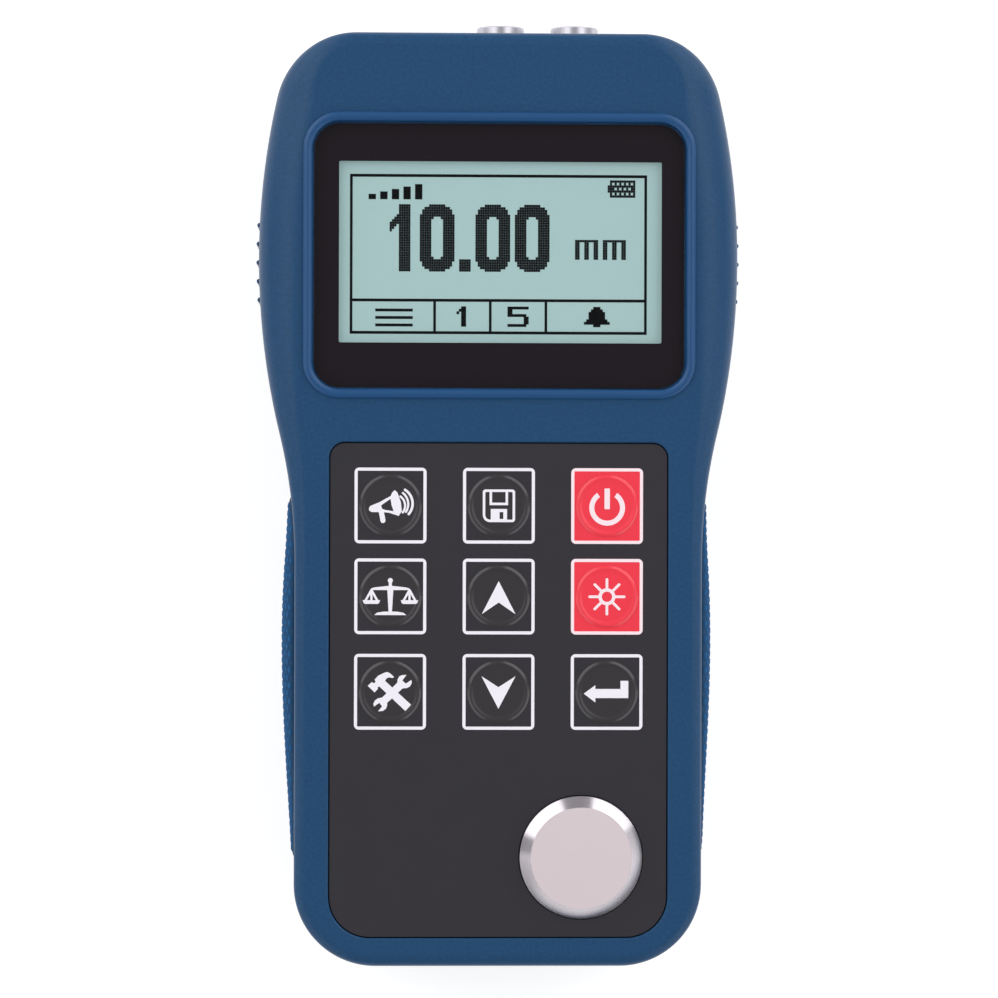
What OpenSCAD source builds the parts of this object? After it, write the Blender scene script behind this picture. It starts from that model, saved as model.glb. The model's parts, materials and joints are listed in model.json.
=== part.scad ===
// Handheld ultrasonic thickness gauge, lying on its back.
// X points to its right side, Y to the end with the probe sockets and Z out of the display.
// The origin is on the flat back, half way along the housing.

/* [Housing] */
// Length of the housing, without the probe sockets
body_l = 148.8; // [144:0.1:160]
// Width across the head where it is widest
head_w = 76.8; // [74:0.1:84]
// Width across the straight handle
handle_w = 65; // [63:0.1:68]
// Height of the front face above the back
body_t = 30; // [29:0.1:36]
// Height of the joint line between the two shells
parting_z = 15; // [14:0.1:16.5]
// Distance of the widest line from the upper end
head_inset = 35.9; // [30:0.1:42]
// Length of the straight handle with its lower corners
handle_l = 64.4; // [58:0.1:68]
// Share of the side sweep that bulges outwards
head_share = 0.58; // [0.5:0.01:0.7]
// Corner radius seen from the front
corner_r = 13; // [10:0.1:15]
// Wall thickness of both shells
wall = 2.2; // [1.8:0.1:2.6]
// Height of the lip that joins the shells
lip_h = 1.2; // [0.8:0.1:2]

/* [Edge rounds] */
// Reach of the front edge round at the sides of the head
head_round = 7; // [4:0.1:7.2]
// Reach of the front edge round along the handle
handle_round = 2; // [1:0.1:3]
// Reach of the front edge round at the two ends
end_round = 2.2; // [1:0.1:3]
// Reach of the rear edge round
back_round = 4; // [2:0.1:5]
// Depth of an edge round for each unit of its reach
round_depth = 0.8; // [0.6:0.05:1]

/* [Thumb ribs] */
// Ribs on each side of the head
rib_count = 5; // [3:1:7]
// Distance between neighbouring ribs
rib_pitch = 3; // [2:0.1:4]
// Height of a rib above the side
rib_h = 0.5; // [0.3:0.05:0.8]
// Radius of a rib
rib_r = 0.4; // [0.3:0.05:0.8]
// Length of a rib on each shell
rib_l = 7; // [4:0.1:8]
// Distance of the middle rib from the upper end
rib_inset = 36.4; // [32:0.1:42]

/* [Grip pads] */
// Length of a grip pad
grip_l = 57.6; // [46:0.1:58]
// Width of a grip pad, across the edge of the housing
grip_w = 22.4; // [16:0.1:22.6]
// Distance of a grip pad from the lower end
grip_inset = 17; // [15:0.1:20]
// Height of the lower edge of a grip pad above the back
grip_z = 4.8; // [4:0.1:6]
// Corner radius of a grip pad
grip_r = 6; // [3:0.1:7]
// Depth of the seat that holds a grip pad
grip_seat = 0.8; // [0.5:0.05:1]
// Swell of a grip pad above the side
grip_swell = 1.95; // [1:0.05:2.5]
// Height of the diamond texture
grip_texture = 0.35; // [0.1:0.05:0.5]
// Distance between neighbouring diamonds
grip_pitch = 2.45; // [2:0.05:4]

/* [Display] */
// Width of the window
lens_w = 59.4; // [56:0.1:60]
// Height of the window
lens_h = 42.45; // [40:0.05:44]
// Corner radius of the window
lens_r = 4.3; // [2:0.1:6]
// Thickness of the window
lens_t = 1.5; // [1:0.1:2]
// Distance of the window's centre from the upper end
lens_inset = 35.6; // [34:0.1:38]
// Height of the window above the front face
lens_proud = 0.15; // [0:0.05:0.3]
// Width of the bevel along the window's edge
lens_bevel = 0.45; // [0.2:0.05:0.8]
// Width of the raised bead around the window
bead_w = 1.5; // [1:0.05:2]
// Height of the raised bead
bead_h = 0.6; // [0.3:0.05:1]
// Thickness of the ledge under the window
ledge_t = 0.8; // [0.6:0.1:1.2]
// Width of the opening in the ledge
view_w = 52.6; // [48:0.1:53]
// Height of the opening in the ledge
view_h = 30.2; // [26:0.1:32]
// Thickness of the foam gasket
gasket_t = 0.3; // [0.2:0.05:0.5]
// Width of the display glass
glass_w = 54.4; // [54:0.1:55]
// Height of the display glass
glass_h = 36.2; // [35:0.1:37]
// Thickness of the display glass
glass_t = 2.2; // [1.8:0.1:2.6]
// Thickness of the backlight
backlight_t = 2.7; // [2:0.1:3.2]
// Bare glass around the backlight
backlight_margin = 2.4; // [2:0.1:3]
// Wall of the frame that holds the display
lcd_frame_wall = 1.2; // [0.8:0.1:1.4]
// Number of display pins
lcd_pin_count = 20; // [12:1:24]
// Radius of a display pin
lcd_pin_r = 0.25; // [0.2:0.05:0.4]

/* [Keypad] */
// Width of the keypad panel
panel_w = 53.6; // [53:0.1:55]
// Distance between the window and the panel
panel_gap = 8.7; // [6:0.05:10]
// Distance of the panel from the lower end
panel_end = 4.8; // [4.2:0.1:7]
// Upper corner radius of the panel
panel_r = 2.3; // [1:0.1:4]
// Lower corner radius of the panel
panel_low_r = 6.4; // [4:0.1:8]
// Gap around the panel in its recess
panel_play = 0.2; // [0.1:0.05:0.35]
// Depth of the panel's surface below the front face
panel_drop = 0.2; // [0.1:0.05:0.4]
// Thickness of the printed overlay
overlay_t = 0.5; // [0.4:0.05:0.8]
// Thickness of the spacer under the overlay
spacer_t = 1.3; // [1.2:0.05:1.6]
// Thickness of the switch circuit
circuit_t = 0.3; // [0.2:0.05:0.4]
// Wall under the keypad
floor_t = 2; // [1.4:0.1:2.4]
// Diameter of a key
key_d = 9.7; // [9:0.1:11]
// Distance between neighbouring key columns
key_pitch = 17.24; // [15:0.1:18]
// Share of the panel's length above the centre of the upper key row
row_share_first = 0.126; // [0.12:0.001:0.14]
// Share of the panel's length between the upper and the middle key row
row_share_upper = 0.184; // [0.17:0.001:0.2]
// Share of the panel's length between the middle and the lower key row
row_share_lower = 0.1934; // [0.17:0.0001:0.2]
// Clearance around a key
key_gap = 0.15; // [0.1:0.05:0.3]
// Width of the hidden flange that keeps a key in
key_flange_w = 0.7; // [0.5:0.05:0.9]
// Thickness of that flange
key_flange_t = 0.25; // [0.2:0.05:0.4]
// Width of the raised ring on a key
key_ring_w = 0.75; // [0.5:0.05:1.2]
// Height of the raised ring on a key
key_ring_h = 0.28; // [0.1:0.02:0.4]
// Travel of a key
key_travel = 0.35; // [0.2:0.05:0.4]
// Diameter of a snap dome
dome_d = 8.2; // [6:0.1:9]
// Height of a snap dome
dome_h = 0.5; // [0.3:0.05:0.6]
// Width of the circuit's tail
tail_w = 11; // [8:0.1:14]
// Distance of the tail below the panel's upper edge
tail_inset = 1.6; // [1.5:0.1:2]

/* [Test block] */
// Diameter of the test block
block_d = 19.5; // [18:0.1:21]
// Thickness of the test block
block_t = 4; // [3.6:0.1:5]
// Width of the bevel around the test block
block_bevel = 1.7; // [1:0.1:2]
// Distance of the test block to the right of the middle
block_x = 13.2; // [11:0.1:15]
// Distance of the test block's centre from the panel's lower edge
block_inset = 12.65; // [12:0.05:15]
// Clearance around the test block
block_gap = 0.2; // [0.1:0.05:0.4]

/* [Probe sockets] */
// Distance of the first socket to the right of the middle
socket_x = 0.5; // [-2:0.1:2]
// Distance between the sockets
socket_pitch = 12; // [10.5:0.1:13]
// Radius of a socket's bore
socket_bore_r = 2.05; // [1.9:0.05:2.2]
// Length of a socket's bore
socket_bore_l = 5; // [4:0.1:6]
// Step from the bore to the narrower hole that holds the insulator
socket_step = 0.55; // [0.4:0.05:0.8]
// Radius of a socket's barrel
socket_barrel_r = 2.75; // [2.6:0.05:3]
// Radius of a socket's ring nut
nut_r = 3.85; // [3.4:0.05:4.4]
// Thickness of a ring nut
nut_t = 2.3; // [1.2:0.1:2.6]
// Radius of the collar behind the plate
collar_r = 4.4; // [3.8:0.1:4.6]
// Thickness of that collar
collar_t = 1.8; // [1.2:0.1:2.4]
// Length of a socket behind its collar
socket_tail_l = 8; // [6:0.1:9]
// Width of the socket plate
plate_w = 40.6; // [36:0.1:42]
// Height of the socket plate
plate_h = 14; // [12:0.1:15]
// Width of the rim that keeps the plate in
plate_rim = 1.2; // [0.8:0.1:1.6]

/* [Battery] */
// Diameter of a cell
cell_d = 14.3; // [14:0.1:14.5]
// Length of a cell with its button
cell_l = 50.3; // [49:0.1:50.5]
// Clearance beside and between the cells
cell_gap = 0.5; // [0.3:0.1:0.8]
// Length of a contact spring under load
spring_l = 4.8; // [4:0.1:6]
// Thickness of a contact plate
contact_t = 0.4; // [0.3:0.05:0.6]
// Distance of the battery tub from the lower end
tub_end = 5.9; // [5:0.1:7]
// Wall of the battery tub
tub_wall = 1.4; // [1:0.1:1.6]
// Thickness of the battery door
door_t = 2; // [1.6:0.1:2.4]
// Depth of the door's face below the back
door_drop = 0.15; // [0.1:0.05:0.3]
// Width of the door's tongues
tongue_w = 1.2; // [0.8:0.1:1.6]
// Thickness of the door's tongues
tongue_t = 0.95; // [0.7:0.05:1.2]
// Clearance around the door
door_gap = 0.15; // [0.1:0.05:0.3]
// Thickness of the rails that hold the door
rail_t = 2; // [1.4:0.1:3]

/* [Board and screws] */
// Width of the main board
board_w = 46.8; // [44:0.1:47]
// Distance of the board from the upper end
board_end = 8.6; // [8:0.1:12]
// Distance of the board from the lower end
board_low_end = 19.6; // [19:0.1:24]
// Thickness of the main board
board_t = 1.6; // [1:0.1:2]
// Distance of a board screw from the board's centre line
board_screw_x = 20.5; // [19.8:0.1:20.8]
// Distance of the upper board screws from the board's edge
board_screw_inset = 3.5; // [3:0.1:4]
// Distance of the lower board screws from the board's edge
board_screw_low_inset = 7; // [5:0.1:10]
// Radius of a board screw's shank
board_screw_r = 1.05; // [0.8:0.05:1.2]
// Distance of the upper housing screws from the centre line
screw_x = 27.5; // [27.4:0.1:28]
// Distance of the upper housing screws from the upper end
screw_inset = 10.6; // [10:0.1:11.6]
// Distance of the lower housing screws from the centre line
screw_low_x = 25.2; // [25:0.1:25.6]
// Distance of the lower housing screws from the lower end
screw_low_inset = 14.6; // [13:0.1:16]
// Radius of a housing screw's shank
screw_r = 1.3; // [1:0.05:1.4]
// Radius of a housing screw's head
screw_head_r = 2.7; // [2.4:0.1:2.8]
// Depth of the well that hides a housing screw's head
screw_well = 5; // [4:0.1:6]
// Wall around the well of a housing screw
screw_boss_wall = 1.1; // [1:0.1:1.2]
// Wall of the posts that take the housing screws
screw_post_wall = 2.1; // [1.6:0.1:2.2]
// Clearance of parts that fit into each other
fit = 0.1; // [0.05:0.05:0.2]

/* [Hidden] */
$fn = 64;
cut = 1;

corner_steps = 10;
waist_steps = 5;
head_steps = 12;
round_steps = 8;

half_l = body_l / 2;
head_x = head_w / 2;
side_x = handle_w / 2;
head_y = half_l - head_inset;
waist_y = handle_l - half_l;
rib_y = half_l - rib_inset;
grip_cy = grip_inset + grip_l / 2 - half_l;

// The side sweeps from the handle to the head along a hollow arc and a bulging arc that share a tangent.
sweep_h = head_y - waist_y;
sweep_a = 2 * atan((head_x - side_x) / sweep_h);
sweep_r = sweep_h / sin(sweep_a);
head_r = sweep_r * head_share;
waist_r = sweep_r - head_r;
top_cy = half_l - corner_r;
top_cx = head_x - head_r + sqrt(pow(head_r - corner_r, 2) - pow(top_cy - head_y, 2));
top_a = atan2(top_cy - head_y, top_cx - head_x + head_r);

face_z = body_t;
lens_top = face_z + lens_proud;
lens_z = lens_top - lens_t;
gasket_top = lens_z - ledge_t;
glass_top = gasket_top - gasket_t;
backlight_top = glass_top - glass_t;
board_top = backlight_top - backlight_t;
board_z = board_top - board_t;

lens_y = half_l - lens_inset;
panel_y = lens_y - lens_h / 2 - panel_gap;
panel_l = panel_y + half_l - panel_end;
panel_top = face_z - panel_drop;
spacer_top = panel_top - overlay_t;
circuit_top = spacer_top - spacer_t;
floor_z = circuit_top - circuit_t;
deck_z = floor_z - floor_t;
tail_y = panel_y - tail_inset;
tail_slot_gap = 0.55;
key_nub_r = 1.6;
key_nub_t = spacer_t - key_flange_t - key_travel - dome_h - fit / 2;
key_row_shares = [row_share_first, row_share_first + row_share_upper,
    row_share_first + row_share_upper + row_share_lower];
key_rows = [for (share = key_row_shares) panel_y - share * panel_l];
block_y = panel_y - panel_l + block_inset;

lcd_frame_w = glass_w + 2 * (fit + lcd_frame_wall);
lcd_frame_h = glass_h + 2 * (fit + lcd_frame_wall);

socket_z = parting_z;
sockets = [socket_x, socket_x + socket_pitch];
plate_back = half_l - wall;
collar_y = plate_back - plate_rim;
insulator_r = socket_bore_r - socket_step;
contact_r = 0.55;

door_top = door_drop + door_t;
rail_z = door_top + door_gap;
cell_r = cell_d / 2;
cell_x = cell_r + cell_gap / 2;
cell_z = rail_z + cell_gap + cell_r;
tub_x = cell_x + cell_r + cell_gap;
tub_l = cell_l + spring_l + 2 * contact_t;
tub_low_y = tub_end - half_l;
tub_y = tub_low_y + tub_l;
tub_top = cell_z + cell_r + cell_gap;
door_margin = 1.6;
door_x = tub_x + tub_wall + door_margin;
door_over = 1;
door_y = tub_y + door_over;
rail_x = door_x + tongue_w + wall;

board_low_y = board_low_end - half_l;
board_up_y = half_l - board_end;
board_post_r = 2.6;
board_screw_ys = [board_up_y - board_screw_inset, board_low_y + board_screw_low_inset];
board_screws_at = [for (s = [-1, 1], y = board_screw_ys) [s * board_screw_x, y]];
screw_pair = [[screw_x, half_l - screw_inset], [screw_low_x, screw_low_inset - half_l]];
screws_at = [for (s = [-1, 1], p = screw_pair) [s * p[0], p[1]]];
screw_head_t = 2;
screw_tip_gap = 3;
screw_tip_z = deck_z - screw_tip_gap;
screw_slot_w = 0.7;
screw_slot_l = 3.2;
screw_slot_d = 1;

// Name, column and row of each key
KEYS = [
    ["key_alarm", 0, 0], ["key_save", 1, 0], ["key_power", 2, 0],
    ["key_scales", 0, 1], ["key_up", 1, 1], ["key_light", 2, 1],
    ["key_tools", 0, 2], ["key_down", 1, 2], ["key_enter", 2, 2]
];
function key_at(k) = [(k[1] - 1) * key_pitch, key_rows[k[2]]];

function mix(a, b, t) = a + (b - a) * t;
function smooth(t) = let (u = min(1, max(0, t))) u * u * (3 - 2 * u);

// An arc of outline points, each with its outward normal: [x, y, normal x, normal y]
function arc(c, r, a0, a1, steps, first = 0, sense = 1) = [
    for (i = [first:steps])
        let (a = mix(a0, a1, i / steps))
        [c[0] + r * cos(a), c[1] + r * sin(a), sense * cos(a), sense * sin(a)]
];

// The right side of the housing's outline, from the lower end to the upper end
SIDE = concat(
    arc([side_x - corner_r, corner_r - half_l], corner_r, -90, 0, corner_steps),
    arc([side_x + waist_r, waist_y], waist_r, 180, 180 - sweep_a, waist_steps, 0, -1),
    arc([head_x - head_r, head_y], head_r, -sweep_a, top_a, head_steps, 1),
    arc([top_cx, top_cy], corner_r, top_a, 90, corner_steps, 1)
);

function side_at(y) = head_x - head_r + sqrt(head_r * head_r - pow(y - head_y, 2));
function flare_at(y) = y < waist_y ? 0 : waist_r - sqrt(waist_r * waist_r - pow(y - waist_y, 2));

// The front edge round is wide along the head and tight along the handle and at the ends.
function front_reach(p) =
    mix(end_round, mix(handle_round, head_round, smooth((p[1] - waist_y) / sweep_h)), p[2] * p[2]);
function round_point(p, reach, t, z_face, way) = [
    p[0] - p[2] * reach * (1 - cos(t)),
    p[1] - p[3] * reach * (1 - cos(t)),
    z_face - way * reach * round_depth * (1 - sin(t))
];
function level(z) = [for (p = SIDE) [p[0], p[1], z]];
function front_level(t) = [for (p = SIDE) round_point(p, front_reach(p), t, face_z, 1)];
function back_level(t) = [for (p = SIDE) round_point(p, back_round, t, 0, -1)];
function mirrored(p) = [-p[0], p[1], p[2]];
function both_sides(points) = concat(points, [for (i = [len(points) - 1:-1:0]) mirrored(points[i])]);

// A solid skinned over levels that are listed from low to high, each the right side of a closed outline
module skin(levels) {
    n = len(levels[0]);
    ring = 2 * n;
    last = (len(levels) - 1) * ring;
    points = [for (l = levels, p = both_sides(l)) p];
    sides = [
        for (k = [0:len(levels) - 2], j = [0:ring - 1])
            let (a = k * ring + j, d = k * ring + (j + 1) % ring)
            each [[a, a + ring, d + ring], [a, d + ring, d]]
    ];
    floor_faces = [for (i = [0:n - 2]) [i, i + 1, ring - 2 - i, ring - 1 - i]];
    roof_faces = [for (i = [0:n - 2]) [last + ring - 1 - i, last + ring - 2 - i, last + i + 1, last + i]];
    polyhedron(points, concat(sides, floor_faces, roof_faces));
}

module front_form() {
    skin(concat([level(parting_z)], [for (j = [0:round_steps]) front_level(90 * j / round_steps)]));
}

module back_form() {
    skin(concat([for (j = [round_steps:-1:0]) back_level(90 * j / round_steps)], [level(parting_z)]));
}

// A prism inside the housing's outline, at an inset from it
module inner_prism(inset, z0, z1) {
    right = [for (p = SIDE) [p[0] - p[2] * inset, p[1] - p[3] * inset]];
    left = [for (i = [len(right) - 1:-1:0]) [-right[i][0], right[i][1]]];
    translate([0, 0, z0])
        linear_extrude(z1 - z0) polygon(concat(right, left));
}

// A rectangle round its centre with round corners, which may differ at its lower side
module round_rect(w, h, r, low_r = 0) {
    lr = low_r > 0 ? low_r : r;
    translate([-w / 2 + r, 0]) square([w - 2 * r, h / 2]);
    translate([-w / 2, 0]) square([w, h / 2 - r]);
    translate([-w / 2 + lr, -h / 2]) square([w - 2 * lr, h / 2]);
    translate([-w / 2, -h / 2 + lr]) square([w, h / 2 - lr]);
    for (s = [-1, 1]) {
        translate([s * (w / 2 - r), h / 2 - r]) circle(r);
        translate([s * (w / 2 - lr), -h / 2 + lr]) circle(lr);
    }
}

module block(w, h, z0, z1, y = 0) {
    translate([-w / 2, y - h / 2, z0]) cube([w, h, z1 - z0]);
}

// The keypad panel's outline, grown by a clearance
module panel(z0, z1, grow = 0) {
    translate([0, panel_y - panel_l / 2, z0])
        linear_extrude(z1 - z0)
            round_rect(panel_w + 2 * grow, panel_l + 2 * grow, panel_r + grow, panel_low_r + grow);
}

module window(z0, z1, grow = 0) {
    translate([0, lens_y, z0])
        linear_extrude(z1 - z0) round_rect(lens_w + 2 * grow, lens_h + 2 * grow, lens_r + grow);
}

// The raised bead around the window: a low half round swept along a rectangle with round corners
module window_bead() {
    steps = 6;
    arch = 6;
    grow = fit + bead_w / 2;
    r = lens_r + grow;
    dx = lens_w / 2 - lens_r;
    dy = lens_h / 2 - lens_r;
    path = concat(
        arc([dx, dy], r, 0, 90, steps), arc([-dx, dy], r, 90, 180, steps),
        arc([-dx, -dy], r, 180, 270, steps), arc([dx, -dy], r, 270, 360, steps)
    );
    section = concat(
        [[bead_w / 2, -bead_h]],
        [for (i = [0:arch]) [cos(180 * i / arch) * bead_w / 2, sin(180 * i / arch) * bead_h]],
        [[-bead_w / 2, -bead_h]]
    );
    m = len(section);
    n = len(path);
    points = [for (p = path, s = section) [p[0] + p[2] * s[0], p[1] + p[3] * s[0], s[1]]];
    faces = [
        for (i = [0:n - 1], j = [0:m - 1])
            let (i2 = (i + 1) % n, j2 = (j + 1) % m)
            each [[i * m + j, i * m + j2, i2 * m + j2], [i * m + j, i2 * m + j2, i2 * m + j]]
    ];
    translate([0, lens_y, face_z]) polyhedron(points, faces);
}

// The thumb ribs on both sides of the head, from the joint line towards the front or the back
module thumb_ribs(way) {
    for (s = [-1, 1], i = [0:rib_count - 1]) {
        y = rib_y + (i - (rib_count - 1) / 2) * rib_pitch;
        translate([s * (side_at(y) + rib_h - rib_r), y, way > 0 ? parting_z : parting_z - rib_l])
            cylinder(r = rib_r, h = rib_l);
    }
}

// Half the length of a grip pad at a height above its lower edge
function grip_half(v, grow = 0) =
    let (
        r = grip_r + grow,
        edge = min(v + grow, grip_w + grow - v),
        lost = edge < r ? r - sqrt(max(0, r * r - pow(r - edge, 2))) : 0
    )
    grip_l / 2 + grow - lost;

module grip_seats() {
    reach = grip_seat + flare_at(grip_cy + grip_l / 2 + fit) + cut;
    for (s = [-1, 1])
        translate([s > 0 ? side_x - grip_seat : grip_seat - side_x - reach, grip_cy, grip_z + grip_w / 2])
            rotate([90, 0, 90])
                linear_extrude(reach) round_rect(grip_l + 2 * fit, grip_w + 2 * fit, grip_r + fit);
}

// The opening in the top wall that holds the socket plate
module plate_opening() {
    translate([-plate_w / 2 - fit, plate_back - cut, socket_z - plate_h / 2 - fit])
        cube([plate_w + 2 * fit, wall + 2 * cut, plate_h + 2 * fit]);
}

module front_shell() {
    boss_r = screw_r + fit + screw_post_wall;
    boss_h = deck_z - parting_z + floor_t / 2;
    post_h = deck_z - board_top + floor_t / 2;
    screw_hole_h = screw_tip_z - parting_z + 2 * cut;
    color("steelblue") difference() {
        union() {
            difference() {
                front_form();
                inner_prism(wall, parting_z - cut, deck_z);
                inner_prism(wall / 2, parting_z - cut, parting_z + lip_h + fit);
            }
            window_bead();
            thumb_ribs(1);
            for (p = screws_at)
                translate([p[0], p[1], parting_z]) cylinder(r = boss_r, h = boss_h);
            for (p = board_screws_at)
                translate([p[0], p[1], board_top]) cylinder(r = board_post_r, h = post_h);
        }
        window(lens_z, face_z + bead_h + cut, fit);
        block(view_w, view_h, gasket_top - cut, lens_z + cut, lens_y);
        block(lcd_frame_w + 4 * fit, lcd_frame_h + 4 * fit, deck_z - cut, gasket_top, lens_y);
        panel(floor_z, face_z + cut, panel_play);
        block(tail_w + 2 * tail_slot_gap, circuit_t + 2 * tail_slot_gap, deck_z - cut, floor_z + cut, tail_y);
        for (p = screws_at)
            translate([p[0], p[1], parting_z - cut]) cylinder(r = screw_r + fit / 2, h = screw_hole_h);
        for (p = board_screws_at)
            translate([p[0], p[1], board_top - cut])
                cylinder(r = board_screw_r + fit / 2, h = deck_z - board_top + cut);
        grip_seats();
        plate_opening();
    }
}

module rear_shell() {
    well_r = screw_head_r + 2 * fit;
    tub_len = tub_l + 2 * tub_wall;
    tub_cy = tub_y - tub_l / 2;
    rail_l = door_y + half_l - wall / 2;
    slide_l = door_y + door_gap + half_l + cut;
    slide_cy = (door_y + door_gap - half_l - cut) / 2;
    color("steelblue") difference() {
        union() {
            difference() {
                back_form();
                inner_prism(wall, wall, parting_z + cut);
            }
            difference() {
                inner_prism(wall / 2 + fit, parting_z - wall, parting_z + lip_h);
                inner_prism(wall, parting_z - wall - cut, parting_z + lip_h + cut);
            }
            thumb_ribs(-1);
            block(2 * (tub_x + tub_wall), tub_len, wall / 2, tub_top + tub_wall, tub_cy);
            block(2 * rail_x, rail_l, wall / 2, rail_z + rail_t, door_y - rail_l / 2);
            for (p = screws_at)
                translate([p[0], p[1], wall / 2])
                    cylinder(r = well_r + screw_boss_wall, h = parting_z - wall / 2);
        }
        block(2 * tub_x, tub_l, rail_z - cut, tub_top, tub_cy);
        block(2 * (door_x + door_gap), slide_l, -cut, rail_z, slide_cy);
        block(2 * (door_x + tongue_w + door_gap), slide_l, door_top - tongue_t - door_gap, rail_z, slide_cy);
        for (p = screws_at) {
            translate([p[0], p[1], -cut]) cylinder(r = well_r, h = screw_well + cut);
            translate([p[0], p[1], 0]) cylinder(r = screw_r + 2 * fit, h = parting_z + cut);
        }
        grip_seats();
        plate_opening();
    }
}

// A pad with a diamond texture that swells out of its seat in the handle's side
module grip_pad(side) {
    nu = 2 * floor(grip_l / grip_pitch);
    nv = 2 * floor(grip_w / grip_pitch);
    cy = grip_cy;
    seat = side_x - grip_seat;
    across_power = 0.6;
    along_power = 0.7;
    along_skew = 1.36;
    along_end = 0.02;
    function along(u) = sin(180 * mix(along_end, 1 - along_end, pow(u, along_skew)));
    function swell(u, v) = grip_swell * pow(sin(180 * v), across_power) * pow(along(u), along_power);
    function texture(i, j) =
        i == 0 || j == 0 || i == nu || j == nv ? 0 : (i + j) % 2 == 0 ? grip_texture : 0;
    function at(i, j) =
        let (u = i / nu, v = j / nv, h = grip_half(v * grip_w), y = cy + mix(-h, h, u))
        [side_x + flare_at(y) + swell(u, v) + texture(i, j), y, grip_z + v * grip_w];
    row = nv + 1;
    outer = [for (i = [0:nu], j = [0:nv]) at(i, j)];
    edge = concat(
        [for (i = [0:nu - 1]) i * row], [for (j = [0:nv - 1]) nu * row + j],
        [for (i = [nu:-1:1]) i * row + nv], [for (j = [nv:-1:1]) j]
    );
    base = len(outer);
    inner = [for (e = edge) [seat, outer[e][1], outer[e][2]]];
    n = len(edge);
    points = concat(outer, inner, [[seat, cy, grip_z + grip_w / 2]]);
    faces = concat(
        [for (i = [0:nu - 1], j = [0:nv - 1])
            let (a = i * row + j, b = a + row)
            each (i + j) % 2 == 0
                ? [[a, a + 1, b + 1], [a, b + 1, b]]
                : [[a, a + 1, b], [a + 1, b + 1, b]]],
        [for (i = [0:n - 1])
            let (i2 = (i + 1) % n)
            each [[edge[i], edge[i2], base + i2], [edge[i], base + i2, base + i]]],
        [for (i = [0:n - 1]) [base + i, base + (i + 1) % n, base + n]]
    );
    color("royalblue") mirror([side > 0 ? 0 : 1, 0, 0]) polyhedron(points, faces);
}

module left_grip() {
    grip_pad(-1);
}

module right_grip() {
    grip_pad(1);
}

module battery_door() {
    thumb_w = 18;
    thumb_h = 9;
    thumb_r = 4;
    thumb_d = 0.7;
    thumb_y = tub_y - 10;
    rib_t = 1;
    rib_gap = 2.4;
    slide_l = door_y + half_l + cut;
    slide_cy = (door_y - half_l - cut) / 2;
    color("steelblue") difference() {
        union() {
            intersection() {
                back_form();
                block(2 * door_x, slide_l, door_drop, door_top, slide_cy);
            }
            intersection() {
                back_form();
                block(2 * (door_x + tongue_w), slide_l, door_top - tongue_t, door_top, slide_cy);
            }
        }
        difference() {
            translate([0, thumb_y, door_drop - cut])
                linear_extrude(thumb_d + cut) round_rect(thumb_w, thumb_h, thumb_r);
            for (i = [-1, 0, 1])
                block(thumb_w, rib_t, 0, door_top, thumb_y + i * rib_gap);
        }
    }
}

module socket_plate() {
    color("steelblue") difference() {
        union() {
            translate([-plate_w / 2, plate_back, socket_z - plate_h / 2]) cube([plate_w, wall, plate_h]);
            translate([-plate_w / 2 - plate_rim, collar_y, socket_z - plate_h / 2 - plate_rim])
                cube([plate_w + 2 * plate_rim, plate_rim, plate_h + 2 * plate_rim]);
        }
        for (x = sockets)
            along_y(x, collar_y - cut) cylinder(r = socket_barrel_r + fit, h = wall + plate_rim + 2 * cut);
    }
}

module housing_screws() {
    color("dimgray") for (p = screws_at)
        translate([p[0], p[1], screw_well - screw_head_t]) difference() {
            union() {
                cylinder(r = screw_head_r, h = screw_head_t);
                cylinder(r = screw_r, h = screw_tip_z - screw_well + screw_head_t);
            }
            for (a = [0, 90])
                rotate(a) translate([-screw_slot_l / 2, -screw_slot_w / 2, -cut])
                    cube([screw_slot_l, screw_slot_w, cut + screw_slot_d]);
        }
}

module window_lens() {
    color([0.1, 0.1, 0.12]) hull() {
        window(lens_z, lens_top - lens_bevel / 2);
        window(lens_z, lens_top, -lens_bevel);
    }
}

module lens_gasket() {
    color("black") difference() {
        block(lcd_frame_w, lcd_frame_h, glass_top, gasket_top, lens_y);
        block(view_w + 2 * fit, view_h + 2 * fit, glass_top - cut, gasket_top + cut, lens_y);
    }
}

module lcd_glass() {
    color([0.65, 0.77, 0.76]) block(glass_w, glass_h, backlight_top, glass_top, lens_y);
}

module lcd_frame() {
    color("silver") difference() {
        block(lcd_frame_w, lcd_frame_h, board_top, glass_top, lens_y);
        block(glass_w + 2 * fit, glass_h + 2 * fit, board_top - cut, glass_top + cut, lens_y);
    }
}

module lcd_backlight() {
    w = glass_w - 2 * backlight_margin;
    h = glass_h - 2 * backlight_margin;
    color("white") block(w, h, board_top, backlight_top, lens_y);
}

module lcd_pins() {
    margin = 2;
    y = lens_y - glass_h / 2 + backlight_margin / 2;
    span = board_w - 2 * margin;
    color("gold") for (i = [0:lcd_pin_count - 1])
        translate([-span / 2 + i * span / (lcd_pin_count - 1), y, board_top])
            cylinder(r = lcd_pin_r, h = backlight_top - board_top);
}

// The hole that lets the test block through the layers of the keypad
module block_hole() {
    translate([block_x, block_y, floor_z - cut])
        cylinder(d = block_d + 2 * block_gap, h = face_z - floor_z + 2 * cut);
}

module keypad_overlay() {
    color([0.22, 0.22, 0.24]) difference() {
        panel(spacer_top, panel_top);
        for (k = KEYS)
            translate(concat(key_at(k), spacer_top - cut))
                cylinder(d = key_d + 2 * key_gap, h = overlay_t + 2 * cut);
        block_hole();
    }
}

module keypad_spacer() {
    color("gainsboro") difference() {
        panel(circuit_top, spacer_top);
        for (k = KEYS)
            translate(concat(key_at(k), circuit_top - cut))
                cylinder(d = key_d + 2 * (key_flange_w + key_gap), h = spacer_t + 2 * cut);
        block_hole();
    }
}

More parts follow.
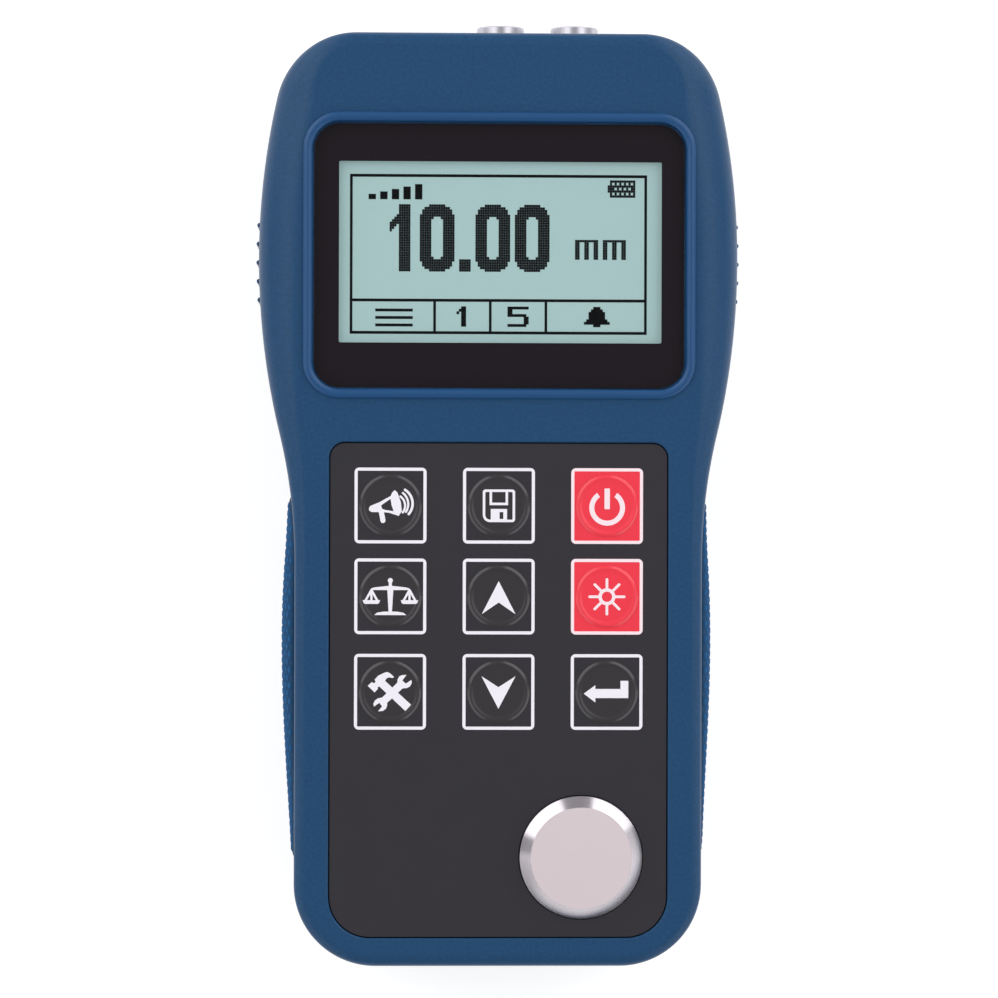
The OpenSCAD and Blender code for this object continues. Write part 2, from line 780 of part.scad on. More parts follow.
module keypad_circuit() {
    color("darkgoldenrod") difference() {
        union() {
            panel(floor_z, circuit_top);
            block(tail_w, circuit_t, board_top + circuit_t, circuit_top, tail_y);
        }
        block_hole();
    }
}

module snap_domes() {
    steps = 4;
    ball_r = (dome_d * dome_d / 4 + dome_h * dome_h) / (2 * dome_h);
    edge_a = asin(dome_d / 2 / ball_r);
    function crown_at(a) = [ball_r * sin(a), dome_h - ball_r * (1 - cos(a))];
    crown = [for (i = [0:steps]) crown_at(edge_a * i / steps)];
    color("silver") for (k = KEYS)
        translate(concat(key_at(k), circuit_top)) rotate_extrude() polygon(concat(crown, [[0, 0]]));
}

// One key: a disc of the overlay with a raised ring, a hidden flange and a nub over its dome
module key(k) {
    r = key_d / 2;
    ring_top = overlay_t + key_ring_h;
    slope = key_ring_w / 4;
    paint = k[0] == "key_power" || k[0] == "key_light" ? "crimson" : "dimgray";
    color(paint) translate(concat(key_at(k), spacer_top)) rotate_extrude() polygon([
        [0, -key_flange_t - key_nub_t], [key_nub_r, -key_flange_t - key_nub_t], [key_nub_r, -key_flange_t],
        [r + key_flange_w, -key_flange_t], [r + key_flange_w, 0], [r, 0],
        [r, overlay_t + key_ring_h / 2], [r - slope, ring_top], [r - key_ring_w + slope, ring_top],
        [r - key_ring_w, overlay_t], [0, overlay_t]
    ]);
}

module test_block() {
    color("silver") translate([block_x, block_y, floor_z]) {
        cylinder(d = block_d, h = block_t - block_bevel);
        translate([0, 0, block_t - block_bevel])
            cylinder(d1 = block_d, d2 = block_d - 2 * block_bevel, h = block_bevel);
    }
}

module main_board() {
    hole_r = board_screw_r + 2 * fit;
    color("darkgreen") difference() {
        translate([-board_w / 2, board_low_y, board_z]) cube([board_w, board_up_y - board_low_y, board_t]);
        for (p = board_screws_at)
            translate([p[0], p[1], board_z - cut]) cylinder(r = hole_r, h = board_t + 2 * cut);
    }
}

module board_screws() {
    head_t = 1.4;
    head_r = 2;
    color("silver") for (p = board_screws_at)
        translate([p[0], p[1], board_z - head_t]) {
            cylinder(r = head_r, h = head_t);
            cylinder(r = board_screw_r, h = deck_z - board_z + head_t - fit);
        }
}

// A chip on the display side of the board: a body between two rows of legs
module chip(x, up, w, h, t, legs) {
    leg_w = 0.5;
    leg_l = 0.9;
    root = 0.1;
    span = w - 2;
    leg_pitch = span / (legs - 1);
    translate([x, board_low_y + up, board_top]) {
        translate([-w / 2, -h / 2, 0]) cube([w, h, t]);
        for (s = [-1, 1], i = [0:legs - 1])
            translate([-span / 2 + i * leg_pitch - leg_w / 2, s > 0 ? h / 2 - root : -h / 2 - leg_l, 0])
                cube([leg_w, leg_l + root, t / 2]);
    }
}

module processor() {
    color("black") chip(x = 0, up = 33, w = 14, h = 14, t = 1.4, legs = 10);
}

module memory_chip() {
    color("black") chip(x = -11, up = 13, w = 10, h = 6, t = 1.2, legs = 7);
}

module pulser_chip() {
    color("black") chip(x = 12, up = 13, w = 9, h = 8, t = 1.2, legs = 6);
}

module tail_connector() {
    w = tail_w + 3;
    d = 4;
    h = 2.2;
    color("ivory") difference() {
        block(w, d, board_top, board_top + h, tail_y);
        block(tail_w + 2 * fit, circuit_t + 2 * fit, board_top + circuit_t, board_top + h + cut, tail_y);
    }
}

module beeper() {
    can_r = 6;
    can_h = 4;
    hole_r = 1;
    can_x = -13;
    can_up = 61;
    color("black") translate([can_x, board_low_y + can_up, board_z - can_h]) difference() {
        cylinder(r = can_r, h = can_h);
        translate([0, 0, -cut]) cylinder(r = hole_r, h = can_h / 2 + cut);
    }
}

// Places a part that is drawn upwards so that it points along Y, at a socket's axis
module along_y(x, y, z = socket_z) {
    translate([x, y, z]) rotate([-90, 0, 0]) children();
}

// A cell with its button at the end that points to way
module cell(x, way) {
    button_l = 1.2;
    button_r = 2.7;
    can_l = cell_l - button_l;
    middle = way > 0 ? tub_y - contact_t - cell_l / 2 : tub_low_y + contact_t + cell_l / 2;
    color("darkorange") translate([x, middle, cell_z]) rotate([-90 * way, 0, 0])
        translate([0, 0, -cell_l / 2]) {
            cylinder(r = cell_r, h = can_l);
            cylinder(r = button_r, h = cell_l);
        }
}

module battery_cell_left() {
    cell(-cell_x, 1);
}

module battery_cell_right() {
    cell(cell_x, -1);
}

// A conical contact spring that rises along Z to its length, as a swept wire
module spring() {
    wire_r = 0.35;
    low_r = 4.6;
    high_r = 2.4;
    turns = 3;
    steps = 12;
    sides = 6;
    n = turns * steps;
    function centre(i) =
        let (t = i / n, r = mix(low_r, high_r, t), a = 360 * turns * t)
        [r * cos(a), r * sin(a), mix(wire_r, spring_l - wire_r, t)];
    function wire_at(i, j) =
        let (c = centre(i), a = 360 * turns * i / n, b = 360 * j / sides)
        [c[0] + wire_r * cos(b) * cos(a), c[1] + wire_r * cos(b) * sin(a), c[2] + wire_r * sin(b)];
    points = [for (i = [0:n], j = [0:sides - 1]) wire_at(i, j)];
    faces = concat(
        [for (i = [0:n - 1], j = [0:sides - 1])
            let (a = i * sides + j, b = i * sides + (j + 1) % sides)
            each [[a, b, b + sides], [a, b + sides, a + sides]]],
        [[for (j = [sides - 1:-1:0]) j], [for (j = [0:sides - 1]) n * sides + j]]
    );
    polyhedron(points, faces);
}

module battery_springs() {
    color("silver") {
        translate([-cell_x, tub_low_y + contact_t, cell_z]) rotate([-90, 0, 0]) spring();
        translate([cell_x, tub_y - contact_t, cell_z]) rotate([90, 0, 0]) spring();
    }
}

module battery_plates() {
    w = 11;
    h = 11;
    color("silver") for (s = [-1, 1], y = [tub_low_y, tub_y - contact_t])
        translate([s * cell_x - w / 2, y, cell_z - h / 2]) cube([w, contact_t, h]);
}

// A socket's turned body: barrel through the plate, collar behind it, stepped bore from the front
module socket_body(x) {
    front = wall + plate_rim + nut_t;
    back = -collar_t - socket_tail_l;
    tail_step = 0.2;
    tail_r = socket_barrel_r - tail_step;
    color("silver") along_y(x, collar_y) difference() {
        union() {
            translate([0, 0, -collar_t]) cylinder(r = socket_barrel_r, h = front + collar_t);
            translate([0, 0, -collar_t]) cylinder(r = collar_r, h = collar_t);
            translate([0, 0, back]) cylinder(r = tail_r, h = socket_tail_l + collar_t / 2);
        }
        translate([0, 0, front - socket_bore_l]) cylinder(r = socket_bore_r, h = socket_bore_l + cut);
        translate([0, 0, back - cut]) cylinder(r = insulator_r, h = front - back + cut);
    }
}

module socket_nut(x) {
    bevel = 0.2;
    hole_r = socket_barrel_r + fit / 2;
    color("lightgray") along_y(x, half_l) rotate_extrude() polygon([
        [hole_r, 0], [nut_r, 0], [nut_r, nut_t - bevel], [nut_r - bevel, nut_t], [hole_r, nut_t]
    ]);
}

module socket_insulator(x) {
    front = wall + plate_rim + nut_t - socket_bore_l;
    back = -collar_t - socket_tail_l;
    color("white") along_y(x, collar_y + back) difference() {
        cylinder(r = insulator_r - fit / 4, h = front - back);
        translate([0, 0, -cut]) cylinder(r = contact_r + fit / 4, h = front - back + 2 * cut);
    }
}

// A socket's centre contact: a tube in front, and a pin that bends up to the board
module socket_contact(x) {
    front = wall + plate_rim + nut_t - socket_bore_l;
    back_l = 2;
    hole_l = 3;
    knee = 0.1;
    back = -collar_t - socket_tail_l - back_l;
    color("gold") {
        along_y(x, collar_y + back) difference() {
            cylinder(r = contact_r, h = front - back);
            translate([0, 0, front - back - hole_l]) cylinder(r = contact_r / 2, h = hole_l + cut);
        }
        translate([x, collar_y + back, socket_z]) {
            sphere(contact_r + knee);
            cylinder(r = contact_r - knee, h = board_z - socket_z);
        }
    }
}

module socket_body_left() {
    socket_body(sockets[0]);
}

module socket_body_right() {
    socket_body(sockets[1]);
}

module socket_nut_left() {
    socket_nut(sockets[0]);
}

module socket_nut_right() {
    socket_nut(sockets[1]);
}

module socket_insulator_left() {
    socket_insulator(sockets[0]);
}

module socket_insulator_right() {
    socket_insulator(sockets[1]);
}

module socket_contact_left() {
    socket_contact(sockets[0]);
}

module socket_contact_right() {
    socket_contact(sockets[1]);
}

front_shell();
rear_shell();
left_grip();
right_grip();
battery_door();
socket_plate();
housing_screws();
window_lens();
lens_gasket();
lcd_glass();
lcd_frame();
lcd_backlight();
lcd_pins();
keypad_overlay();
keypad_spacer();
keypad_circuit();
snap_domes();
for (k = KEYS)
    key(k);
main_board();
board_screws();
processor();
memory_chip();
pulser_chip();
tail_connector();
beeper();
battery_cell_left();
battery_cell_right();
battery_springs();
battery_plates();
socket_body_left();
socket_body_right();
socket_nut_left();
socket_nut_right();
socket_insulator_left();
socket_insulator_right();
socket_contact_left();
socket_contact_right();
test_block();
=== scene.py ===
"""Handheld ultrasonic thickness gauge, lying on its back on a pale floor."""
import json
import math

import bpy
from mathutils import Matrix, Quaternion, Vector
from mathutils.geometry import tessellate_polygon


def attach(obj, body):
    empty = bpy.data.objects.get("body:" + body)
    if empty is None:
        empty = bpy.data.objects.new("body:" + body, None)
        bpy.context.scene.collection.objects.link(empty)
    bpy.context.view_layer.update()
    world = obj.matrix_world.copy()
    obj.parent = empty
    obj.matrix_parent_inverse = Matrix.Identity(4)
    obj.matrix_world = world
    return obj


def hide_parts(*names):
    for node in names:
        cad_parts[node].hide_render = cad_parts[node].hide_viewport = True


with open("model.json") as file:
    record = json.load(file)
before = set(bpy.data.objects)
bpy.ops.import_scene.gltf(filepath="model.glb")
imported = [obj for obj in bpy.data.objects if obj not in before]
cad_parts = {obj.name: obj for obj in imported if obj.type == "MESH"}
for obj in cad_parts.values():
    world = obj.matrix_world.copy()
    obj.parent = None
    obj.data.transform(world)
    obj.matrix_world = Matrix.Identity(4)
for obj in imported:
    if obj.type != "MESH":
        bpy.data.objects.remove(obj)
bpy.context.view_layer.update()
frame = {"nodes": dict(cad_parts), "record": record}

MM = 0.001

# Sizes in millimetres, as in the part's source
BODY_L = 148.8
HALF_L = BODY_L / 2
HEAD_X = 38.4
SIDE_X = 32.5
HEAD_Y = 38.5
WAIST_Y = -10.0
HEAD_SHARE = 0.58
CORNER_R = 13.0
WALL = 2.2
PARTING_Z = 15.0
FACE_Z = 30.0
DECK_Z = 25.7
HEAD_ROUND, HANDLE_ROUND, END_ROUND = 7.0, 2.0, 2.2
ROUND_DEPTH = 0.8
FIT = 0.1

RIB_COUNT, RIB_PITCH, RIB_H, RIB_R, RIB_L, RIB_Y = 5, 3.0, 0.5, 0.4, 7.0, 38.0

GRIP_L, GRIP_W, GRIP_CY, GRIP_Z, GRIP_R = 57.6, 22.4, -28.6, 4.8, 6.0
GRIP_SEAT, GRIP_SWELL, GRIP_TEXTURE, GRIP_PITCH = 0.8, 1.95, 0.35, 2.45
GRIP_SKEW, GRIP_END = 1.36, 0.02
GRIP_ALONG, GRIP_ACROSS = 0.7, 0.6  # exponents of a pad's swell along it and across it

LENS_W, LENS_H, LENS_R, LENS_Y = 59.4, 42.45, 4.3, 38.8
LENS_TOP, LENS_Z, LENS_BEVEL = 30.15, 28.65, 0.45
BEAD_W, BEAD_H = 1.5, 0.6
VIEW_W, VIEW_H = 52.6, 30.2
LEDGE_LOW_Z = 27.85
LCD_FRAME_W, LCD_FRAME_H = 57.4, 39.2
GLASS_TOP = 27.55

PANEL_W, PANEL_L, PANEL_Y, PANEL_R, PANEL_LOW_R = 53.6, 78.475, 8.875, 2.3, 6.4
PANEL_TOP, PANEL_PLAY, FLOOR_Z = 29.8, 0.2, 27.7
SPACER_TOP = 29.3
KEY_R, KEY_GAP, KEY_PITCH = 4.85, 0.15, 17.24
KEY_ROWS = [PANEL_Y - share * PANEL_L for share in (0.126, 0.31, 0.5034)]
KEY_RING_W, KEY_RING_H = 0.75, 0.28
KEY_FLANGE_W, KEY_FLANGE_T, KEY_NUB_R, KEY_NUB_T = 0.7, 0.25, 1.6, 0.15
KEY_GRID = [["alarm", "save", "power"], ["scales", "up", "light"], ["tools", "down", "enter"]]
RED_KEYS = {"power", "light"}

PLATE_W, PLATE_H, SOCKET_Z = 40.6, 14.0, 15.0
BLOCK_X, BLOCK_Y, BLOCK_FACE_R = 13.2, -56.95, 8.05

# Sizes in millimetres of what only the scene shows
CUT = 1.0  # how far a cutter reaches past what it cuts
JOINT_ROUND = 0.35
PANEL_FILLET = 0.3
GRIP_RIM, TIP_BLUNT = 1.2, 1.35  # width over which the diamonds fade out, and how blunt their tips are
LENS_CURVE = 0.7  # bend of the window's bevel, where 1 is straight
BEAD_GAP, BEAD_FOOT, BEAD_OVERLAP = 0.08, 0.8, 0.1
PRINT_T = 0.03
MASK_INSET, MASK_LIFT, MASK_CORNER_R = 0.2, 0.02, 0.25
VIEW_BOX = (-25.55, 24.95, 25.9, 53.85)  # the opening in the black print: x0, y0, x1, y1
DOT_BOX = (-23.8, 26.4, 23.6, 51.85)  # the field of dots
DOT_T = 0.02
KEY_EDGE, KEY_CREST, KEY_DISH = KEY_R + KEY_GAP - 0.01, KEY_R - 0.28, 0.17
KEY_FALL = 1.1  # bend of a ring's outer slope, where 1 is straight
FRAME_W, FRAME_H, FRAME_STROKE, FRAME_R, FRAME_INNER_R = 11.45, 12.05, 0.5, 0.75, 0.15
ICON_STEP = 0.004  # rise from one stroke of a pictogram to the next

# The display's dots: columns run to the right and rows down
DOT_COLS, DOT_ROWS = 128, 64
LINE_DOT, PLAIN_DOT = 0.58, 0.485  # half a dot's width, as a share of the pitch
DIGIT_W, DIGIT_H, DIGIT_STROKE, DIGIT_R = 15, 27, 5, 6
FIELD_ROW, FIELD_COLS = 50, (36, 60, 84)  # the lines that part the four lower fields
MARK_ROW = 53

# Lamps: azimuth and elevation in degrees, size in metres, watts, distance in metres
LAMPS = {
    "overhead_left": (150, 54, (0.8, 0.55), 2.35, 1.1),
    "overhead_right": (30, 54, (0.8, 0.55), 2.35, 1.1),
    "upper_left": (136, 19, (1.05, 0.68), 3.7, 1.0),
    "upper_right": (48, 19, (0.95, 0.68), 3.6, 1.0),
    "lower_left": (213, 22, (1.2, 0.6), 2.5, 1.0),
    "lower_right": (327, 22, (1.2, 0.6), 3.0, 1.0),
}
WORLD_LEVEL, FLOOR_GLOW = 0.42, 0.63
FLOOR_HALF, FLOOR_DROP = 3.0, 0.0002

# The photo's view, in metres and degrees, with the focal length in pixels of the photo
PHOTO_PX, FOCAL_PX, SENSOR = 998, 4000, 36.0
VIEW_PLACE, VIEW_TARGET, VIEW_ROLL = (-0.020, 0.0, 0.666), (0.00013, 0.00007, 0.026), 0.16


# Small maths

def mix(a, b, t):
    """The value a share t of the way from a to b."""
    return a + (b - a) * t


def smooth(t):
    """A step from 0 to 1 with soft ends."""
    u = min(1.0, max(0.0, t))
    return u * u * (3 - 2 * u)


def polar(c, r, degrees):
    """The point at an angle on a circle about c."""
    a = math.radians(degrees)
    return (c[0] + r * math.cos(a), c[1] + r * math.sin(a))


def arc_points(c, r, a0, a1, steps):
    """Points of an arc between two angles, both ends with it."""
    return [polar(c, r, mix(a0, a1, i / steps)) for i in range(steps + 1)]


# Meshes from points in millimetres

def make_piece(name, verts, faces, material, body="housing", slot=None, stands_for=(), angle=35):
    """A mesh that rides a body. Edges sharper than the angle stay crisp."""
    mesh = bpy.data.meshes.new(name)
    mesh.from_pydata([(x * MM, y * MM, z * MM) for x, y, z in verts], [], faces)
    mesh.validate()
    mesh.update()
    piece = bpy.data.objects.new(name, mesh)
    bpy.context.scene.collection.objects.link(piece)
    return dress(piece, material, body, stands_for, angle)


def dress(piece, material, body, stands_for=(), angle=35):
    """Gives a piece its finish and shading, hangs it on its body, and hides the imported parts it stands
    for.
    """
    mesh = piece.data
    mesh.materials.clear()
    mesh.materials.append(material)
    mesh.polygons.foreach_set("use_smooth", [True] * len(mesh.polygons))
    mesh.set_sharp_from_angle(angle=math.radians(angle))
    weighted = piece.modifiers.new("weighted_normals", "WEIGHTED_NORMAL")
    weighted.keep_sharp = True
    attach(piece, body)
    if stands_for:
        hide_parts(*stands_for)
    return piece


def skin(levels):
    """A closed solid over rings of equal length, from low to high, each counter-clockwise from above."""
    n = len(levels[0])
    verts = [p for ring in levels for p in ring]
    faces = [tuple(reversed(range(n)))]
    for k in range(len(levels) - 1):
        for j in range(n):
            a, b = k * n + j, k * n + (j + 1) % n
            faces.append((a, b, b + n, a + n))
    faces.append(tuple(range((len(levels) - 1) * n, len(levels) * n)))
    return verts, faces


def joined(*parts):
    """Several meshes as one."""
    verts, faces = [], []
    for part_verts, part_faces in parts:
        base = len(verts)
        verts += part_verts
        faces += [tuple(i + base for i in face) for face in part_faces]
    return verts, faces


def plate(outer, holes, z0, z1):
    """A flat plate between two heights, with holes."""
    loops = [outer] + list(holes)
    flat = [p for loop in loops for p in loop]
    n = len(flat)
    verts = [(x, y, z1) for x, y in flat] + [(x, y, z0) for x, y in flat]
    faces = []
    for a, b, c in tessellate_polygon([[Vector((x, y, 0)) for x, y in loop] for loop in loops]):
        (ax, ay), (bx, by), (cx, cy) = flat[a], flat[b], flat[c]
        if (bx - ax) * (cy - ay) - (by - ay) * (cx - ax) < 0:
            b, c = c, b
        faces += [(a, b, c), (a + n, c + n, b + n)]
    base = 0
    for loop in loops:
        m = len(loop)
        area = sum(loop[i][0] * loop[(i + 1) % m][1] - loop[(i + 1) % m][0] * loop[i][1] for i in range(m))
        outward = (area > 0) == (loop is outer)
        for i in range(m):
            a, b = base + i, base + (i + 1) % m
            faces.append((a, a + n, b + n, b) if outward else (a, b, b + n, a + n))
        base += m
    return verts, faces


def lathe(profile, centre, segments=96):
    """A turned solid about a vertical line. The profile runs from the axis to the axis."""
    cx, cy = centre
    verts, rings = [], []
    for r, z in profile:
        if r < 1e-6:
            rings.append([len(verts)])
            verts.append((cx, cy, z))
        else:
            rings.append(list(range(len(verts), len(verts) + segments)))
            verts += [(*polar(centre, r, 360 * i / segments), z) for i in range(segments)]
    faces = []
    for low, high in zip(rings, rings[1:]):
        for i in range(segments):
            j = (i + 1) % segments
            if len(low) == 1 and len(high) > 1:
                faces.append((low[0], high[i], high[j]))
            elif len(high) == 1 and len(low) > 1:
                faces.append((low[i], high[0], low[j]))
            elif len(low) > 1:
                faces.append((low[i], high[i], high[j], low[j]))
    return verts, faces


def round_rect(w, h, r, low_r=None, centre=(0, 0), steps=16):
    """A rectangle with round corners, counter-clockwise."""
    low_r = r if low_r is None else low_r
    cx, cy = centre
    points = []
    for sx, sy, corner, a in ((1, 1, r, 0), (-1, 1, r, 90), (-1, -1, low_r, 180), (1, -1, low_r, 270)):
        c = (cx + sx * (w / 2 - corner), cy + sy * (h / 2 - corner))
        points += arc_points(c, corner, a, a + 90, steps)
    return points


def at_height(points, z):
    """Flat points, lifted to a height."""
    return [(x, y, z) for x, y in points]


def boolean(verts, faces, cutters):
    """The first solid less each cutter, as points and faces in millimetres."""
    def plain(name, v, f):
        mesh = bpy.data.meshes.new(name)
        mesh.from_pydata(v, [], f)
        mesh.update()
        made = bpy.data.objects.new(name, mesh)
        bpy.context.scene.collection.objects.link(made)
        return made

    solid = plain("boolean_solid", verts, faces)
    for v, f in cutters:
        cutter = plain("boolean_cutter", v, f)
        step = solid.modifiers.new("cut", "BOOLEAN")
        step.operation = "DIFFERENCE"
        step.solver = "EXACT"
        step.object = cutter
        graph = bpy.context.evaluated_depsgraph_get()
        cut = bpy.data.meshes.new_from_object(solid.evaluated_get(graph))
        solid.modifiers.clear()
        solid.data = cut
        bpy.data.objects.remove(cutter)
    result = [tuple(v.co) for v in solid.data.vertices], [tuple(p.vertices) for p in solid.data.polygons]
    bpy.data.objects.remove(solid)
    return result


# Materials

def linear(rgb):
    """Linear colour of a colour that is written as 0 to 255."""
    values = [c / 255 for c in rgb]
    return tuple(c / 12.92 if c <= 0.04045 else ((c + 0.055) / 1.055) ** 2.4 for c in values)


class Finish:
    """A material in the making: a shader with noise for its colour, its gloss and its grain."""

    def __init__(self, name):
        self.material = bpy.data.materials.new(name)
        self.material.use_nodes = True
        self.tree = self.material.node_tree
        self.nodes = self.tree.nodes
        self.shader = self.nodes["Principled BSDF"]
        self.place = self.nodes.new("ShaderNodeTexCoord").outputs["Object"]

    def link(self, a, b):
        self.tree.links.new(a, b)

    def set(self, **values):
        """Plain values for the shader, by the names of its inputs."""
        for key, value in values.items():
            self.shader.inputs[key.replace("_", " ")].default_value = value
        return self

    def noise(self, size_mm, detail=2.0, stretch=(1, 1, 1)):
        """Noise whose patches are about size_mm across."""
        mapping = self.nodes.new("ShaderNodeMapping")
        mapping.inputs["Scale"].default_value = tuple(s / (size_mm * MM) for s in stretch)
        self.link(self.place, mapping.inputs["Vector"])
        node = self.nodes.new("ShaderNodeTexNoise")
        node.inputs["Scale"].default_value = 1.0
        node.inputs["Detail"].default_value = detail
        self.link(mapping.outputs["Vector"], node.inputs["Vector"])
        return node.outputs["Fac"]

    def drift(self, rgb, spread, factor):
        """A colour that goes a little darker and lighter with a factor."""
        blend = self.nodes.new("ShaderNodeMix")
        blend.data_type = "RGBA"
        base = linear(rgb)
        blend.inputs[6].default_value = (*[c * (1 - spread) for c in base], 1)
        blend.inputs[7].default_value = (*[min(1.0, c * (1 + spread)) for c in base], 1)
        self.link(factor, blend.inputs[0])
        return blend.outputs[2]

    def colour(self, rgb, spread=0.06, size_mm=6.0, factor=None):
        """A base colour that drifts in patches, or with a factor of its own."""
        factor = self.noise(size_mm, 4.0) if factor is None else factor
        self.link(self.drift(rgb, spread, factor), self.shader.inputs["Base Color"])
        return self

    def roughness(self, low, high, size_mm=0.6):
        """Roughness that changes between two values in patches."""
        span = self.nodes.new("ShaderNodeMapRange")
        span.inputs["To Min"].default_value = low
        span.inputs["To Max"].default_value = high
        self.link(self.noise(size_mm), span.inputs["Value"])
        self.link(span.outputs["Result"], self.shader.inputs["Roughness"])
        return self

    def step(self, value, at_mm, low, high, soft_mm=0.1):
        """A value that goes from low to high where a distance passes at_mm."""
        span = self.nodes.new("ShaderNodeMapRange")
        span.inputs["From Min"].default_value = (at_mm - soft_mm / 2) * MM
        span.inputs["From Max"].default_value = (at_mm + soft_mm / 2) * MM
        span.inputs["To Min"].default_value = low
        span.inputs["To Max"].default_value = high
        self.link(value, span.inputs["Value"])
        return span.outputs["Result"]

    def grain(self, size_mm, height_mm, height=None):
        """Fine bumps, from noise or from a height of their own."""
        bump = self.nodes.new("ShaderNodeBump")
        bump.inputs["Strength"].default_value = 1.0
        bump.inputs["Distance"].default_value = height_mm * MM
        self.link(height or self.noise(size_mm), bump.inputs["Height"])
        self.link(bump.outputs["Normal"], self.shader.inputs["Normal"])
        return self


def plastic(
    name, rgb, rough=(0.42, 0.52), grain_mm=0.3, height_mm=0.02, spread=0.06, shine=0.2, patch_mm=5.0,
):
    """Moulded plastic, film or print."""
    finish = Finish(name)
    finish.colour(rgb, spread, patch_mm).roughness(*rough).grain(grain_mm, height_mm)
    finish.set(IOR=1.46, Specular_IOR_Level=shine)
    return finish.material


def metal(name, rgb, rough=(0.22, 0.34), grain_mm=0.1, height_mm=0.002):
    """Plain or plated metal."""
    finish = Finish(name)
    finish.set(Metallic=1.0)
    finish.colour(rgb, 0.05, 2.0).roughness(*rough, 0.3).grain(grain_mm, height_mm)
    return finish.material


def window_material():
    """Clear acrylic that lets light through. Most of its gloss is on the print and film under it."""
    material = bpy.data.materials.new("clear_window")
    material.use_nodes = True
    tree = material.node_tree
    tree.nodes.remove(tree.nodes["Principled BSDF"])
    clear = tree.nodes.new("ShaderNodeBsdfTransparent")
    clear.inputs["Color"].default_value = (0.985, 0.985, 0.99, 1)
    gloss = tree.nodes.new("ShaderNodeBsdfGlossy")
    gloss.inputs["Color"].default_value = (1, 1, 1, 1)
    place = tree.nodes.new("ShaderNodeTexCoord")
    haze = tree.nodes.new("ShaderNodeTexNoise")
    haze.inputs["Scale"].default_value = 400
    rough = tree.nodes.new("ShaderNodeMapRange")
    rough.inputs["To Min"].default_value = 0.02
    rough.inputs["To Max"].default_value = 0.07
    fresnel = tree.nodes.new("ShaderNodeFresnel")
    fresnel.inputs["IOR"].default_value = 1.1
    inside = tree.nodes.new("ShaderNodeNewGeometry")
    outside_only = tree.nodes.new("ShaderNodeMath")
    outside_only.operation = "SUBTRACT"
    outside_only.use_clamp = True
    blend = tree.nodes.new("ShaderNodeMixShader")
    link = tree.links.new
    link(place.outputs["Object"], haze.inputs["Vector"])
    link(haze.outputs["Fac"], rough.inputs["Value"])
    link(rough.outputs["Result"], gloss.inputs["Roughness"])
    link(fresnel.outputs["Fac"], outside_only.inputs[0])
    link(inside.outputs["Backfacing"], outside_only.inputs[1])
    link(outside_only.outputs[0], blend.inputs["Fac"])
    link(clear.outputs["BSDF"], blend.inputs[1])
    link(gloss.outputs["BSDF"], blend.inputs[2])
    link(blend.outputs["Shader"], tree.nodes["Material Output"].inputs["Surface"])
    return material


def ground_steel():
    """Bare steel: a ground face with fine straight lines, and a polished bevel around it, coloured darker
    as painted shade that dims its highlights.
    """
    finish = Finish("ground_steel")
    finish.set(Metallic=1.0)
    lines = finish.noise(0.05, 3.0, (0.02, 1, 1))
    finish.grain(0.05, 0.0008, height=lines)
    flat = finish.nodes.new("ShaderNodeVectorMath")
    flat.operation = "MULTIPLY"
    flat.inputs[1].default_value = (1, 1, 0)
    away = finish.nodes.new("ShaderNodeVectorMath")
    away.operation = "DISTANCE"
    away.inputs[1].default_value = (BLOCK_X * MM, BLOCK_Y * MM, 0)
    finish.link(finish.place, flat.inputs[0])
    finish.link(flat.outputs["Vector"], away.inputs[0])
    radius = away.outputs["Value"]
    finish.link(finish.step(radius, BLOCK_FACE_R, 0.5, 0.2), finish.shader.inputs["Roughness"])
    face_to_shaded_bevel = finish.nodes.new("ShaderNodeMix")
    face_to_shaded_bevel.data_type = "RGBA"
    finish.link(finish.step(radius, BLOCK_FACE_R, 0, 1), face_to_shaded_bevel.inputs[0])
    finish.link(finish.drift((243, 230, 235), 0.04, lines), face_to_shaded_bevel.inputs[6])
    # Painted shade: the bevel is coloured darker than the face so the lamps' reflections in it stay below
    # white.
    face_to_shaded_bevel.inputs[7].default_value = (*linear((206, 200, 206)), 1)
    finish.link(face_to_shaded_bevel.outputs[2], finish.shader.inputs["Base Color"])
    return finish.material


def grip_rubber():
    """Soft blue rubber, with painted shade in the valleys between its diamonds and a painted highlight on
    their tips.
    """
    finish = Finish("blue_rubber")
    tip = finish.nodes.new("ShaderNodeAttribute")
    tip.attribute_name = "tip"
    # Painted shade and painted highlight: the colour goes darker towards each diamond's valley and lighter
    # towards its tip.
    finish.colour((28, 74, 116), 0.55, factor=tip.outputs["Fac"])
    finish.roughness(0.55, 0.65).grain(0.12, 0.006).set(IOR=1.46, Specular_IOR_Level=0.06)
    return finish.material


def lit_film():
    """The display's film, glowing a little as its backlight would; the glow is also painted light that
    fills the shade the window's print casts at the film's edges.
    """
    finish = Finish("display_film")
    finish.colour((134, 159, 158), 0.015, 5.0).roughness(0.45, 0.55).grain(0.15, 0.002)
    # The emission stands for the backlight and is also painted light that lifts the shade at the display's
    # edges.
    finish.set(Specular_IOR_Level=0.2, Emission_Color=(*linear((171, 202, 200)), 1), Emission_Strength=0.37)
    return finish.material


